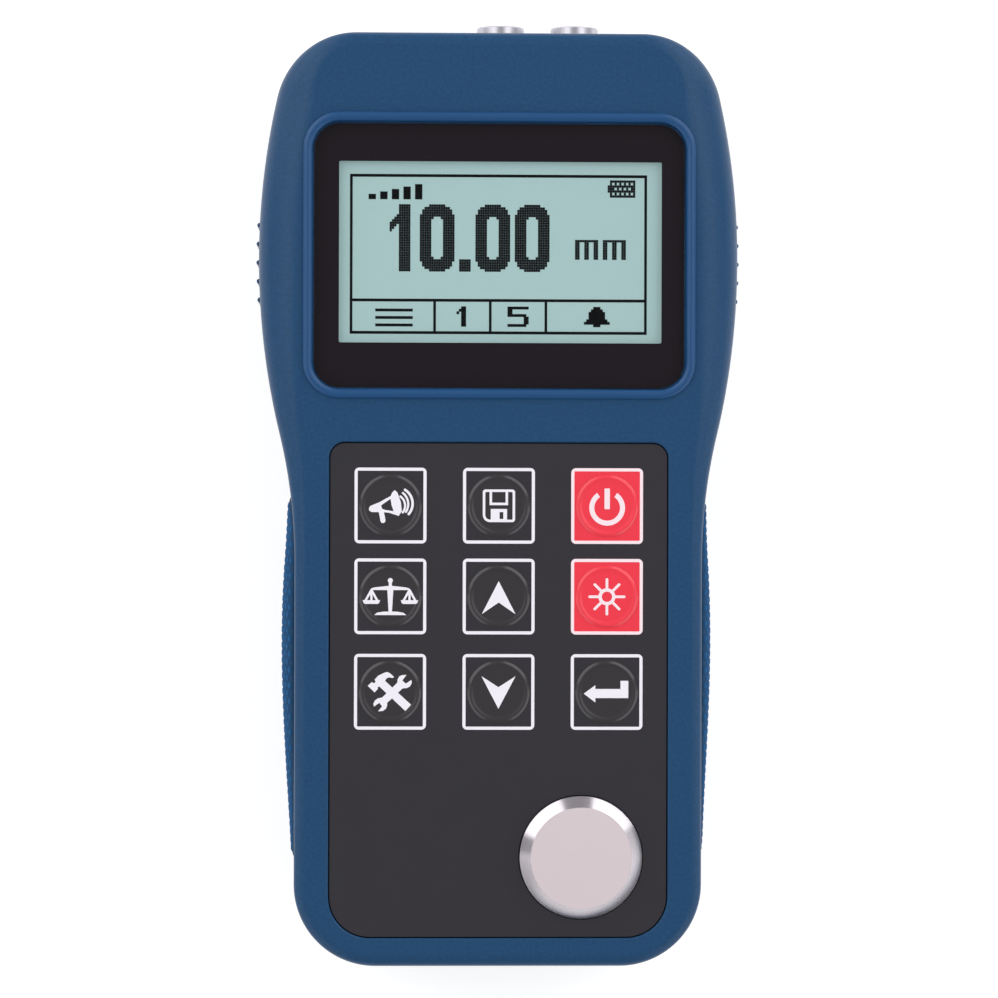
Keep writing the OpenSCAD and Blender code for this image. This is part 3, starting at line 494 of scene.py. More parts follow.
PRINT_LOOK = {"rough": (0.45, 0.55), "grain_mm": 0.12, "height_mm": 0.003, "spread": 0.02}
KEY_LOOK = {"grain_mm": 0.09, "height_mm": 0.0015, "shine": 0.6}
MATERIALS = {
    "shell": plastic(
        "blue_shell", (31, 70, 107),
        rough=(0.3, 0.36), height_mm=0.012, spread=0.28, shine=0.22, patch_mm=0.5,
    ),
    "grip": grip_rubber(),
    "screw": metal("black_oxide", (60, 60, 64), rough=(0.35, 0.5)),
    "window": window_material(),
    "foam": plastic("black_foam", (14, 14, 14), rough=(0.8, 0.95), height_mm=0.05),
    "lcd": lit_film(),
    "sheet_metal": metal("tin_plate", (205, 205, 200)),
    "light_guide": plastic(
        "white_moulding", (226, 226, 220), rough=(0.35, 0.5), grain_mm=0.4, height_mm=0.004, spread=0.03,
    ),
    "contact": metal("gold_flash", (226, 190, 110)),
    "overlay": plastic(
        "velvet_film", (49, 47, 52), rough=(0.5, 0.6), grain_mm=0.09, height_mm=0.006, spread=0.05,
    ),
    "key": plastic("velvet_key", (46, 43, 47), rough=(0.2, 0.26), spread=0.05, **KEY_LOOK),
    "red_key": plastic("red_film", (238, 53, 71), rough=(0.22, 0.28), spread=0.04, **KEY_LOOK),
    "circuit": plastic("amber_film", (170, 116, 40), rough=(0.3, 0.4), grain_mm=0.5, height_mm=0.004),
    "board": plastic("solder_mask", (18, 74, 44), rough=(0.25, 0.4), grain_mm=0.6, height_mm=0.006),
    "chip": plastic("moulded_epoxy", (30, 30, 32), rough=(0.5, 0.65), grain_mm=0.12, height_mm=0.01),
    "cell": plastic("cell_wrap", (196, 120, 44), rough=(0.25, 0.35), grain_mm=0.8, height_mm=0.004),
    "socket": metal("satin_nickel", (196, 193, 201), rough=(0.3, 0.36), grain_mm=0.08, height_mm=0.0006),
    "steel": ground_steel(),
}
# The bead's gloss is real; its blue, lighter and more saturated than the shell's though it is the same
# moulding, is a painted highlight.
BEAD_FINISH = plastic(
    "polished_blue_painted_highlight", (25, 73, 120),
    rough=(0.28, 0.36), grain_mm=0.6, height_mm=0.002, spread=0.03, shine=0.4,
)
WHITE_PRINT = plastic("white_print", (238, 234, 243), **PRINT_LOOK)
PINK_PRINT = plastic("pink_print", (247, 226, 233), **PRINT_LOOK)
MASK_PRINT = plastic("black_print", (25, 18, 25), rough=(0.3, 0.33), height_mm=0.0004, spread=0.05)
DOT_PRINT = plastic(
    "display_dot", (16, 18, 21), rough=(0.5, 0.6), grain_mm=0.2, height_mm=0.001, spread=0.08, shine=0.1,
)


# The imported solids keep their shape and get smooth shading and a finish

SMOOTH_ANGLE, MERGE_DISTANCE = 32, 2e-6


def smoothing_group(angle):
    """Shades faces smooth across edges that bend less than the angle."""
    group = bpy.data.node_groups.new("smooth_by_angle", "GeometryNodeTree")
    group.interface.new_socket("Geometry", in_out="INPUT", socket_type="NodeSocketGeometry")
    group.interface.new_socket("Geometry", in_out="OUTPUT", socket_type="NodeSocketGeometry")
    new, link = group.nodes.new, group.links.new
    start, end = new("NodeGroupInput"), new("NodeGroupOutput")
    bare = new("GeometryNodeRemoveAttribute")
    bare.inputs["Name"].default_value = "custom_normal"
    merge = new("GeometryNodeMergeByDistance")
    merge.inputs["Distance"].default_value = MERGE_DISTANCE
    angles = new("GeometryNodeInputMeshEdgeAngle")
    gentle = new("FunctionNodeCompare")
    gentle.data_type = "FLOAT"
    gentle.operation = "LESS_EQUAL"
    gentle.inputs[1].default_value = math.radians(angle)
    by_face, by_edge = new("GeometryNodeSetShadeSmooth"), new("GeometryNodeSetShadeSmooth")
    by_edge.domain = "EDGE"
    link(start.outputs[0], bare.inputs["Geometry"])
    link(bare.outputs["Geometry"], merge.inputs["Geometry"])
    link(merge.outputs["Geometry"], by_face.inputs["Geometry"])
    link(by_face.outputs["Geometry"], by_edge.inputs["Geometry"])
    link(angles.outputs["Unsigned Angle"], gentle.inputs[0])
    link(gentle.outputs["Result"], by_edge.inputs["Shade Smooth"])
    link(by_edge.outputs["Geometry"], end.inputs[0])
    return group


def dress_solids():
    """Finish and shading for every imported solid."""
    group = smoothing_group(SMOOTH_ANGLE)
    slot_of = {row["node"]: row["material_slot"] for row in frame["record"]["subparts"]}
    for name, solid in frame["nodes"].items():
        material = MATERIALS[slot_of[name]]
        if not solid.material_slots:
            solid.data.materials.append(material)
        for place in solid.material_slots:
            place.material = material
        shading = solid.modifiers.new("smooth_by_angle", "NODES")
        shading.node_group = group


# Housing

def arc_with_normals(c, r, a0, a1, steps, first=0, sense=1):
    """Points of an arc, each with its normal. Sense -1 turns the normals to the centre."""
    points = []
    for i in range(first, steps + 1):
        a = math.radians(mix(a0, a1, i / steps))
        nx, ny = math.cos(a), math.sin(a)
        points.append((c[0] + r * nx, c[1] + r * ny, sense * nx, sense * ny))
    return points


SWEEP_H = HEAD_Y - WAIST_Y
SWEEP_A = 2 * math.degrees(math.atan((HEAD_X - SIDE_X) / SWEEP_H))
SWEEP_R = SWEEP_H / math.sin(math.radians(SWEEP_A))
HEAD_R = SWEEP_R * HEAD_SHARE
WAIST_R = SWEEP_R - HEAD_R


def side_outline():
    """The right side of the housing's outline, each point with its outward normal."""
    top_cy = HALF_L - CORNER_R
    top_cx = HEAD_X - HEAD_R + math.sqrt((HEAD_R - CORNER_R) ** 2 - (top_cy - HEAD_Y) ** 2)
    top_a = math.degrees(math.atan2(top_cy - HEAD_Y, top_cx - HEAD_X + HEAD_R))
    return (
        arc_with_normals((SIDE_X - CORNER_R, CORNER_R - HALF_L), CORNER_R, -90, 0, 26)
        + [(SIDE_X, mix(CORNER_R - HALF_L, WAIST_Y, i / 12), 1, 0) for i in range(1, 12)]
        + arc_with_normals((SIDE_X + WAIST_R, WAIST_Y), WAIST_R, 180, 180 - SWEEP_A, 18, 0, -1)
        + arc_with_normals((HEAD_X - HEAD_R, HEAD_Y), HEAD_R, -SWEEP_A, top_a, 40, 1)
        + arc_with_normals((top_cx, top_cy), CORNER_R, top_a, 90, 26, 1)
    )


SIDE = side_outline()


def whole(points):
    """A ring from points on the right side, mirrored to the left."""
    return points + [(-p[0], *p[1:]) for p in reversed(points)]


def front_level(t):
    """A ring of the front edge's round, at an angle from the side (0) to the face (90)."""
    a = math.radians(t)
    ring = []
    for x, y, nx, ny in SIDE:
        side = mix(HANDLE_ROUND, HEAD_ROUND, smooth((y - WAIST_Y) / SWEEP_H))
        reach = mix(END_ROUND, side, nx * nx)
        inset = reach * (1 - math.cos(a))
        ring.append((x - nx * inset, y - ny * inset, FACE_Z - reach * ROUND_DEPTH * (1 - math.sin(a))))
    return whole(ring)


def inner_ring(inset, z):
    """The outline, moved inward, at a height."""
    return whole([(x - nx * inset, y - ny * inset, z) for x, y, nx, ny in SIDE])


def head_side(y):
    """Half the head's width at a place along it."""
    return HEAD_X - HEAD_R + math.sqrt(HEAD_R ** 2 - (y - HEAD_Y) ** 2)


def flare(y):
    """How far the side has swept out past the handle's straight part."""
    return 0.0 if y < WAIST_Y else WAIST_R - math.sqrt(WAIST_R ** 2 - (y - WAIST_Y) ** 2)


def window_outline(grow, steps=16):
    """The window's outline, moved outward."""
    return round_rect(LENS_W + 2 * grow, LENS_H + 2 * grow, LENS_R + grow, None, (0, LENS_Y), steps)


def panel_outline(grow):
    """The keypad panel's outline, moved outward."""
    centre = (0, PANEL_Y - PANEL_L / 2)
    return round_rect(PANEL_W + 2 * grow, PANEL_L + 2 * grow, PANEL_R + grow, PANEL_LOW_R + grow, centre)


def box_cutter(w, h, y, z0, z1):
    """A plain block on the centre line, between two heights."""
    ring = [(-w / 2, y - h / 2), (w / 2, y - h / 2), (w / 2, y + h / 2), (-w / 2, y + h / 2)]
    return skin([at_height(ring, z0), at_height(ring, z1)])


def panel_cutter(steps=5):
    """The panel's recess, whose upper edge is rounded over."""
    levels = [at_height(panel_outline(PANEL_PLAY), FLOOR_Z)]
    for i in range(steps + 1):
        a = math.radians(90 * i / steps)
        grow = PANEL_PLAY + PANEL_FILLET * (1 - math.cos(a))
        levels.append(at_height(panel_outline(grow), FACE_Z - PANEL_FILLET * (1 - math.sin(a))))
    levels.append(at_height(panel_outline(PANEL_PLAY + PANEL_FILLET), FACE_Z + CUT))
    return skin(levels)


def seat_cutter(side):
    """The seat of a grip pad, as a block that is drawn sideways."""
    centre = (GRIP_CY, GRIP_Z + GRIP_W / 2)
    ring = round_rect(GRIP_L + 2 * FIT, GRIP_W + 2 * FIT, GRIP_R + FIT, None, centre)
    near, far = side * (SIDE_X - GRIP_SEAT), side * (SIDE_X + 4 * CUT)
    low, high = min(near, far), max(near, far)
    return skin([[(low, y, z) for y, z in ring], [(high, y, z) for y, z in ring]])


def plate_cutter():
    """The notch for the socket plate."""
    w, z0, z1 = PLATE_W + 2 * FIT, SOCKET_Z - PLATE_H / 2 - FIT, SOCKET_Z + PLATE_H / 2 + FIT
    return box_cutter(w, 2 * WALL, HALF_L, z0, z1)


def window_bead(arch=12):
    """A low half round around the window."""
    section = [(BEAD_W / 2, -BEAD_FOOT)]
    for i in range(arch + 1):
        a = math.pi * i / arch
        section.append((math.cos(a) * BEAD_W / 2, math.sin(a) * BEAD_H))
    section.append((-BEAD_W / 2, LENS_Z - FACE_Z + BEAD_OVERLAP))
    rings = [at_height(window_outline(BEAD_GAP + BEAD_W / 2 + s), FACE_Z + z) for s, z in section]
    n, m = len(rings[0]), len(rings)
    verts = [p for ring in rings for p in ring]
    faces = []
    for k in range(m):
        for j in range(n):
            a, b = k * n + j, k * n + (j + 1) % n
            c, d = (k + 1) % m * n + j, (k + 1) % m * n + (j + 1) % n
            faces.append((a, b, d, c))
    return verts, faces


def thumb_rib(side, y, segments=24, dome=6):
    """A half-round rib on the head's side, from the joint line up to a domed end."""
    centre = (side * (head_side(y) + RIB_H - RIB_R), y)
    levels = [at_height(arc_points(centre, RIB_R, 0, 360, segments)[:-1], PARTING_Z)]
    for i in range(dome):
        a = math.radians(90 * i / dome)
        ring = arc_points(centre, RIB_R * math.cos(a), 0, 360, segments)[:-1]
        levels.append(at_height(ring, PARTING_Z + RIB_L - RIB_R + RIB_R * math.sin(a)))
    return skin(levels)


def front_shell(steps=18):
    """The front half of the housing, with its recesses and thumb ribs, and the bead as its own piece."""
    joint = [(1, 0), (0.3, 0.3), (0, 1)]  # inset and height along the round at the joint line
    levels = [inner_ring(JOINT_ROUND * inset, PARTING_Z + JOINT_ROUND * rise) for inset, rise in joint]
    levels += [front_level(90 * i / steps) for i in range(steps + 1)]
    cutters = [
        skin([inner_ring(WALL, PARTING_Z - CUT), inner_ring(WALL, DECK_Z)]),
        skin([at_height(window_outline(FIT), LENS_Z), at_height(window_outline(FIT), FACE_Z + 2 * CUT)]),
        box_cutter(VIEW_W, VIEW_H, LENS_Y, LEDGE_LOW_Z - CUT, LENS_Z + CUT),
        box_cutter(LCD_FRAME_W, LCD_FRAME_H, LENS_Y, DECK_Z - CUT, LEDGE_LOW_Z),
        panel_cutter(),
        seat_cutter(1),
        seat_cutter(-1),
        plate_cutter(),
    ]
    ribs = [
        thumb_rib(side, RIB_Y + (i - (RIB_COUNT - 1) / 2) * RIB_PITCH)
        for side in (-1, 1) for i in range(RIB_COUNT)
    ]
    mesh = joined(boolean(*skin(levels), cutters), *ribs)
    make_piece("front_moulding", *mesh, MATERIALS["shell"], "housing", "shell", ["front_shell"])
    make_piece("front_bead", *window_bead(), BEAD_FINISH, "housing", "shell", ["front_shell"])


def grip_half(v):
    """Half the length of a grip pad at a height above its lower edge."""
    edge = min(v, GRIP_W - v)
    if edge >= GRIP_R:
        return GRIP_L / 2
    return GRIP_L / 2 - (GRIP_R - math.sqrt(max(0.0, GRIP_R ** 2 - (GRIP_R - edge) ** 2)))


PITCH_ALONG, PITCH_ACROSS = (size / math.floor(size / GRIP_PITCH) for size in (GRIP_L, GRIP_W))


def diamond(along, across):
    """Height, 0 to 1, of a field of low pyramids with blunt tips."""
    a, b = along / PITCH_ALONG, across / PITCH_ACROSS
    near = min(
        abs(a - round(a)) + abs(b - round(b)),
        abs(a - math.floor(a) - 0.5) + abs(b - math.floor(b) - 0.5),
    )
    return min(1.0, TIP_BLUNT * (1 - 2 * near))


def grip_point(side, u, v):
    """A point on a pad's face and its height on a diamond, at shares of the pad's length and width."""
    half = grip_half(v * GRIP_W)
    y = GRIP_CY + mix(-half, half, u)
    along = math.sin(math.pi * mix(GRIP_END, 1 - GRIP_END, u ** GRIP_SKEW)) ** GRIP_ALONG
    swell = GRIP_SWELL * math.sin(math.pi * v) ** GRIP_ACROSS * along if 0 < v < 1 else 0.0
    rim = min(half - abs(y - GRIP_CY), v * GRIP_W, GRIP_W - v * GRIP_W)
    tip = diamond(y - GRIP_CY, v * GRIP_W) * smooth(rim / GRIP_RIM)
    return (side * (SIDE_X + flare(y) + swell + GRIP_TEXTURE * tip), y, GRIP_Z + v * GRIP_W), tip


def grip_pad(name, side, columns=264, rows=108):
    """A grip pad: a grid of low diamonds that swells out of its seat, closed by a rim and a flat back."""
    grid = [grip_point(side, i / columns, j / rows) for i in range(columns + 1) for j in range(rows + 1)]
    verts, tips = [list(values) for values in zip(*grid)]
    step = rows + 1
    starts = [a for i in range(columns) for a in range(i * step, i * step + rows)]
    faces = [(a, a + 1, a + step + 1, a + step) for a in starts]
    edge = [i * step for i in range(columns)] + [columns * step + j for j in range(rows)]
    edge += [i * step + rows for i in range(columns, 0, -1)] + list(range(rows, 0, -1))
    base, n = len(verts), len(edge)
    seat = side * (SIDE_X - GRIP_SEAT)
    verts += [(seat, verts[e][1], verts[e][2]) for e in edge]
    faces += [(edge[i], edge[(i + 1) % n], base + (i + 1) % n, base + i) for i in range(n)]
    faces.append(tuple(range(base, base + n)))
    if side > 0:
        faces = [tuple(reversed(face)) for face in faces]
    pad = make_piece(name + "_pad", verts, faces, MATERIALS["grip"], "housing", "grip", [name], 55)
    # Each point's height on its diamond is kept for the finish, which paints shade in the valleys and a
    # highlight on the tips.
    shade = pad.data.attributes.new("tip", "FLOAT", "POINT")
    shade.data.foreach_set("value", tips + [0.0] * n)


# Display

def window_lens(corner_steps=24, bevel_steps=5):
    """The clear window, with a soft bevel around its face."""
    low = LENS_TOP - LENS_BEVEL / 2
    foot = window_outline(0, corner_steps)
    levels = [at_height(foot, LENS_Z), at_height(foot, low)]
    for i in range(1, bevel_steps + 1):
        t = i / bevel_steps
        ring = window_outline(-LENS_BEVEL * t, corner_steps)
        levels.append(at_height(ring, mix(low, LENS_TOP, t ** LENS_CURVE)))
    make_piece("clear_lens", *skin(levels), MATERIALS["window"], "housing", "window", ["window_lens"], 12)


def lens_mask():
    """Black print under the window, open over the display."""
    x0, y0, x1, y1 = VIEW_BOX
    opening = round_rect(x1 - x0, y1 - y0, MASK_CORNER_R, None, ((x0 + x1) / 2, (y0 + y1) / 2), 4)
    low = LENS_Z + MASK_LIFT
    mesh = plate(window_outline(-MASK_INSET), [opening], low, low + PRINT_T)
    make_piece("window_print", *mesh, MASK_PRINT, "housing", "window")


def box_dots(c0, r0, c1, r1):
    """Dots of a filled box, from one corner to the other."""
    return {(c, r) for c in range(c0, c1 + 1) for r in range(r0, r1 + 1)}


def ring_dots(c0, r0, w, h, stroke, corner):
    """Dots of a ring with round corners, as the digit 0."""
    def inside(c, r, inset, radius):
        x, y = min(c, w - 1 - c) - inset, min(r, h - 1 - r) - inset
        if x < 0 or y < 0:
            return False
        dx, dy = max(0, radius - x - 0.5), max(0, radius - y - 0.5)
        return dx * dx + dy * dy <= radius * radius

    return {
        (c0 + c, r0 + r) for c in range(w) for r in range(h)
        if inside(c, r, 0, corner) and not inside(c, r, stroke, corner - 3)
    }


def reading_dots():
    """A plain reading of ten millimetres, in large digits with a small unit."""
    top, left, gap = 12, 16, 2
    dots = box_dots(left + 5, top, left + 9, top + DIGIT_H - 1)
    dots |= {(left + 5 - k, top + 3 + k + j) for k in range(1, 5) for j in range(4)}
    left += DIGIT_W - 3 + gap
    dots |= ring_dots(left, top, DIGIT_W, DIGIT_H, DIGIT_STROKE, DIGIT_R)
    left += DIGIT_W + gap
    dots |= box_dots(left, top + DIGIT_H - DIGIT_STROKE, left + DIGIT_STROKE - 1, top + DIGIT_H - 1)
    left += DIGIT_STROKE + gap
    for _ in range(2):
        dots |= ring_dots(left, top, DIGIT_W, DIGIT_H, DIGIT_STROKE, DIGIT_R)
        left += DIGIT_W + gap
    unit_top, unit_low = 26, 33
    for c in (97, 109):
        dots |= box_dots(c, unit_top, c + 9, unit_top)
        for leg in (c, c + 4, c + 8):
            dots |= box_dots(leg, unit_top, leg + 1, unit_low)
    return dots


def line_dots():
    """The printed box, its lower row of four fields, and the marks in them."""
    right, low, top = DOT_COLS - 1, DOT_ROWS - 1, MARK_ROW
    dots = box_dots(0, 0, 0, low) | box_dots(right, 0, right, low)
    for r in (0, FIELD_ROW, low):
        dots |= box_dots(0, r, right, r)
    for c in FIELD_COLS:
        dots |= box_dots(c, FIELD_ROW, c, low)
    for r in range(top + 1, top + 8, 3):
        dots |= box_dots(11, r, 26, r)
    for k in range(5):
        dots |= box_dots(8 + 5 * k, 8 - k, 10 + 5 * k, 9)
    one, five, bell = 48, 68, 106
    dots |= box_dots(one, top, one + 1, top + 7) | {(one - 1, top + 1), (one - 2, top + 2)}
    dots |= box_dots(five, top, five + 8, top) | box_dots(five, top, five + 1, top + 3)
    dots |= box_dots(five, top + 3, five + 7, top + 3) | box_dots(five + 7, top + 4, five + 8, top + 6)
    dots |= box_dots(five, top + 7, five + 7, top + 7)
    for r, half in enumerate((1, 2, 3, 3, 3, 4, 5, 1)):
        dots |= box_dots(bell - half, top + r, bell + half, top + r)
    return dots


def battery_dots():
    """A full battery with a checked filling."""
    c0, r0, c1, r1 = 112, 2, 122, 8
    inside = box_dots(c0 + 1, r0 + 1, c1 - 1, r1 - 1)
    case = box_dots(c0, r0, c1, r1) - inside
    pole = box_dots(c0 - 1, r0 + 2, c0 - 1, r1 - 2)
    return case | pole | {(c, r) for c, r in inside if r % 2 == 0 or (c + r // 2) % 2}


def display_dots():
    """Each dark dot of the display as a thin square on its glass."""
    x0, y0, x1, y1 = DOT_BOX
    pitch_x, pitch_y = (x1 - x0) / DOT_COLS, (y1 - y0) / DOT_ROWS
    lines = line_dots()
    parts = []
    for c, r in sorted(reading_dots() | lines | battery_dots()):
        fill = LINE_DOT if (c, r) in lines else PLAIN_DOT
        cx, cy = x0 + (c + 0.5) * pitch_x, y1 - (r + 0.5) * pitch_y
        dx, dy = fill * pitch_x, fill * pitch_y
        ring = [(cx - dx, cy - dy), (cx + dx, cy - dy), (cx + dx, cy + dy), (cx - dx, cy + dy)]
        parts.append(skin([at_height(ring, GLASS_TOP), at_height(ring, GLASS_TOP + DOT_T)]))
    make_piece("display_dots", *joined(*parts), DOT_PRINT, "housing", "lcd")


# Keypad

def key_centre(column, row):
    """Where a key sits on the panel."""
    return ((column - 1) * KEY_PITCH, KEY_ROWS[row])


def key_height(r):
    """Height of a key's film above the panel: a ring that is steep outside and gentle inside."""
    if r > KEY_CREST:
        return KEY_RING_H * max(0.0, 1 - ((r - KEY_CREST) / (KEY_EDGE - KEY_CREST)) ** KEY_FALL)
    return mix(KEY_DISH, KEY_RING_H, smooth((r - KEY_CREST + KEY_RING_W) / KEY_RING_W))


def key_disc(name, centre, red):
    """A disc of the film with its ring, closing the gap around it."""
    inner = KEY_CREST - KEY_RING_W
    radii = [0, inner / 2, inner - 0.1] + [mix(inner, KEY_CREST, i / 12) for i in range(12)]
    radii += [mix(KEY_CREST, KEY_EDGE, i / 8) for i in range(9)]
    flange_r, flange_z = KEY_R + KEY_FLANGE_W, SPACER_TOP - KEY_FLANGE_T
    profile = [(r, PANEL_TOP + key_height(r)) for r in radii]
    profile += [(KEY_EDGE, SPACER_TOP), (flange_r, SPACER_TOP), (flange_r, flange_z), (KEY_NUB_R, flange_z)]
    profile += [(KEY_NUB_R, flange_z - KEY_NUB_T), (0, flange_z - KEY_NUB_T)]
    slot = "red_key" if red else "key"
    mesh = lathe(profile, centre)
    make_piece("disc_" + name, *mesh, MATERIALS[slot], name + "_button", slot, ["key_" + name], 40)


def key_frame(name, centre, red):
    """A white frame printed around a key, filled with red around two of them."""
    outer = round_rect(FRAME_W, FRAME_H, FRAME_R, None, centre, 8)
    w, h = FRAME_W - 2 * FRAME_STROKE, FRAME_H - 2 * FRAME_STROKE
    inner = round_rect(w, h, FRAME_INNER_R, None, centre, 4)
    mesh = plate(outer, [inner], PANEL_TOP, PANEL_TOP + PRINT_T)
    make_piece("frame_" + name, *mesh, PINK_PRINT if red else WHITE_PRINT, "housing", "overlay")
    if red:
        hole = list(reversed(arc_points(centre, KEY_R + KEY_GAP, 0, 360, 96)[:-1]))
        field = round_rect(FRAME_W - FRAME_STROKE, FRAME_H - FRAME_STROKE, FRAME_INNER_R, None, centre, 4)
        mesh = plate(field, [hole], PANEL_TOP, PANEL_TOP + PRINT_T / 2)
        make_piece("field_" + name, *mesh, MATERIALS["red_key"], "housing", "red_key")


def stroke(points, width, round_ends=True):
    """The outline of a line with a width, along points."""
    left, right = [], []
    last = len(points) - 1
    for i, (x, y) in enumerate(points):
        (ax, ay), (bx, by) = points[max(0, i - 1)], points[min(last, i + 1)]
        length = math.hypot(bx - ax, by - ay)
        nx, ny = -(by - ay) / length, (bx - ax) / length
        left.append((x + nx * width / 2, y + ny * width / 2))
        right.append((x - nx * width / 2, y - ny * width / 2))
    if not round_ends:
        return right + list(reversed(left))

    def cap(at, towards):
        a = math.degrees(math.atan2(at[1] - towards[1], at[0] - towards[0]))
        return arc_points(at, width / 2, a - 90, a + 90, 8)[1:-1]

    return right + cap(points[-1], points[-2]) + list(reversed(left)) + cap(points[0], points[1])


def bow(a, b, c, steps=14):
    """Points of a round arc through three points."""
    (ax, ay), (bx, by), (cx, cy) = a, b, c
    d = 2 * (ax * (by - cy) + bx * (cy - ay) + cx * (ay - by))
    aa, bb, cc = ax * ax + ay * ay, bx * bx + by * by, cx * cx + cy * cy
    ux = (aa * (by - cy) + bb * (cy - ay) + cc * (ay - by)) / d
    uy = (aa * (cx - bx) + bb * (ax - cx) + cc * (bx - ax)) / d
    r = math.hypot(ax - ux, ay - uy)
    a0, a1 = (math.degrees(math.atan2(y - uy, x - ux)) for x, y in (a, c))
    if a1 > a0:
        a1 -= 360
    return arc_points((ux, uy), r, a0, a1, steps)


def mirror(points):
    """Points of a right half, from top to bottom, with their mirror images on the left."""
    return points + [(-x, y) for x, y in reversed(points)]


# Pictograms: each part is an outline with its holes, in millimetres about the key's centre

def alarm_icon():
    horn = [
        (-3.45, -0.5), (-3.25, -0.1), (-2.45, 0.25), (-1.8, 0.5), (0, 1.5), (0.25, 2.05), (0.65, 2.45),
        (1.1, 2.05), (1.65, 0.5), (1.8, -0.9), (1.3, -1.65), (0.85, -1.5), (-0.25, -1.15), (-1.25, -1.05),
        (-3, -1.05), (-3.4, -0.8),
    ]
    hollow = [(-1.5, 0), (-0.9, 0.45), (0, 1.05), (0.15, 0.1), (0.5, -0.9), (-0.9, -0.7), (-1.35, -0.5)]
    waves = [
        stroke(bow((1.55, 1.45), (2.3, 0.2), (1.95, -1.1)), 0.34),
        stroke(bow((1.95, 2), (2.8, 0.45), (2.45, -1)), 0.34),
        stroke(bow((2.3, 2.5), (3.5, 0.5), (2.9, -1.35)), 0.4),
    ]
    handle = stroke([(-1.5, -0.9), (-1.3, -1.8), (-1.2, -2.4)], 0.8)
    return [(horn, [hollow]), (handle, [])] + [(wave, []) for wave in waves]


def save_icon():
    def disk_outline(inset):
        w, h = 5.15 - 2 * inset, 5.2 - 2 * inset
        r, big = 0.45 - inset * 0.7, 1.15 - inset
        points = []
        for sx, sy, corner, a in ((1, 1, r, 0), (-1, 1, r, 90), (-1, -1, big, 180), (1, -1, r, 270)):
            points += arc_points((sx * (w / 2 - corner), sy * (h / 2 - corner)), corner, a, a + 90, 6)
        return points

    shutter = [
        (-1.5, 2.3), (-1.5, 0.1), (1.45, 0.1), (1.45, 2.3),
        (1.05, 2.3), (1.05, 0.5), (-1.1, 0.5), (-1.1, 2.3),
    ]
    label = [(-1.3, -0.5), (-1.3, -2.3), (1.3, -2.3), (1.3, -0.5)]
    slot = [(0.1, -1), (0.1, -2.1), (0.7, -2.1), (0.7, -1)]
    return [(disk_outline(0), [disk_outline(0.4)]), (shutter, []), (label, [slot])]


def power_icon():
    centre = (0, -0.27)
    ring = arc_points(centre, 2.85, 124, 416, 48) + arc_points(centre, 2.05, 416, 124, 48)
    bar = round_rect(0.86, 3.3, 0.15, None, (0, 1.15), 4)
    return [(ring, []), (bar, [])]


def scales_icon():
    beam = [(3.25, 0.95), (2.98, 1.28), (2.45, 1.43), (1.15, 1.57), (0.45, 1.65)]
    beam += [(-x, y) for x, y in reversed(beam)] + [(-2.7, 1), (-0.55, 1), (0.55, 1), (2.7, 1)]
    parts = [
        (beam, []),
        ([(-0.48, 1.1), (0.48, 1.1), (0.27, -2.5), (-0.27, -2.5)], []),
        (mirror([(1, -2.42), (2.1, -2.6), (2.55, -2.98)]), []),
        (arc_points((0, 2.52), 0.4, 0, 360, 24)[:-1], []),
        (stroke([(0, 2.4), (0, 1.4)], 0.5, False), []),
    ]
    for x in (-3, 3.05):
        pan = [(1.4, -0.6), (1.22, -1.08), (0.97, -1.21)]
        parts.append(([(x + px, py) for px, py in mirror(pan)], []))
        parts += [(stroke([(x, 1), (x + dx, -0.7)], 0.36), []) for dx in (-0.95, 0, 0.95)]
    return parts


def up_icon():
    return [([(0, 2.46), (-2.7, -2.81), (0, -0.94), (2.7, -2.81)], [])]


def light_icon():
    parts = [(arc_points((0, 0), 1.36, 0, 360, 48)[:-1], [arc_points((0, 0), 0.82, 0, 360, 48)[:-1]])]
    for k in range(8):
        parts.append((stroke([polar((0, 0), 1.3, 45 * k), polar((0, 0), 2.75, 45 * k)], 0.43), []))
    return parts


def tools_icon():
    hammer = [
        (-3.55, 0.95), (-2.9, 1.55), (-2.5, 1.35), (-2.3, 1.6), (-2.45, 1.95), (-1.9, 2.55), (-0.9, 3.05),
        (-0.4, 3.15), (0.05, 2.9), (0.65, 2.35), (0.4, 2.2), (-0.05, 2.3), (-0.45, 2.2), (-0.75, 1.9),
        (-0.75, 1.7), (3.35, -2.05), (2.45, -3.05), (-1.7, 0.85), (-1.95, 0.75), (-1.95, 0.45),
        (-2.45, -0.1),
    ]
    wrench = [
        (1.15, 1.45), (1.2, 1.95), (1.45, 2.45), (1.9, 2.65), (2.6, 2.7), (1.95, 1.8), (2.5, 1.3),
        (3.4, 1.9), (3.45, 1.4), (3.15, 0.85), (2.65, 0.6), (2, 0.55), (-0.45, -1.75), (-0.45, -2.15),
        (-0.65, -2.7), (-1.15, -3.05), (-1.9, -3.1), (-1.25, -2.3), (-1.7, -1.75), (-2.55, -2.35),
        (-2.65, -1.9), (-2.4, -1.4), (-1.95, -1.05), (-1.25, -0.9),
    ]
    return [(hammer, []), (wrench, [])]


def down_icon():
    return [([(0, -2.67), (2.72, 2.51), (0, 0.76), (-2.72, 2.51)], [])]


def enter_icon():
    arrow = [
        (-3.65, -0.25), (-1.8, 1.1), (-1.8, 0.5), (2.2, 0.5), (2.2, 1.8), (3.45, 1.8), (3.45, -0.95),
        (-1.8, -0.95), (-1.8, -1.65),
    ]
    return [(arrow, [])]


ICONS = {
    "alarm": alarm_icon, "save": save_icon, "power": power_icon, "scales": scales_icon, "up": up_icon,
    "light": light_icon, "tools": tools_icon, "down": down_icon, "enter": enter_icon,
}


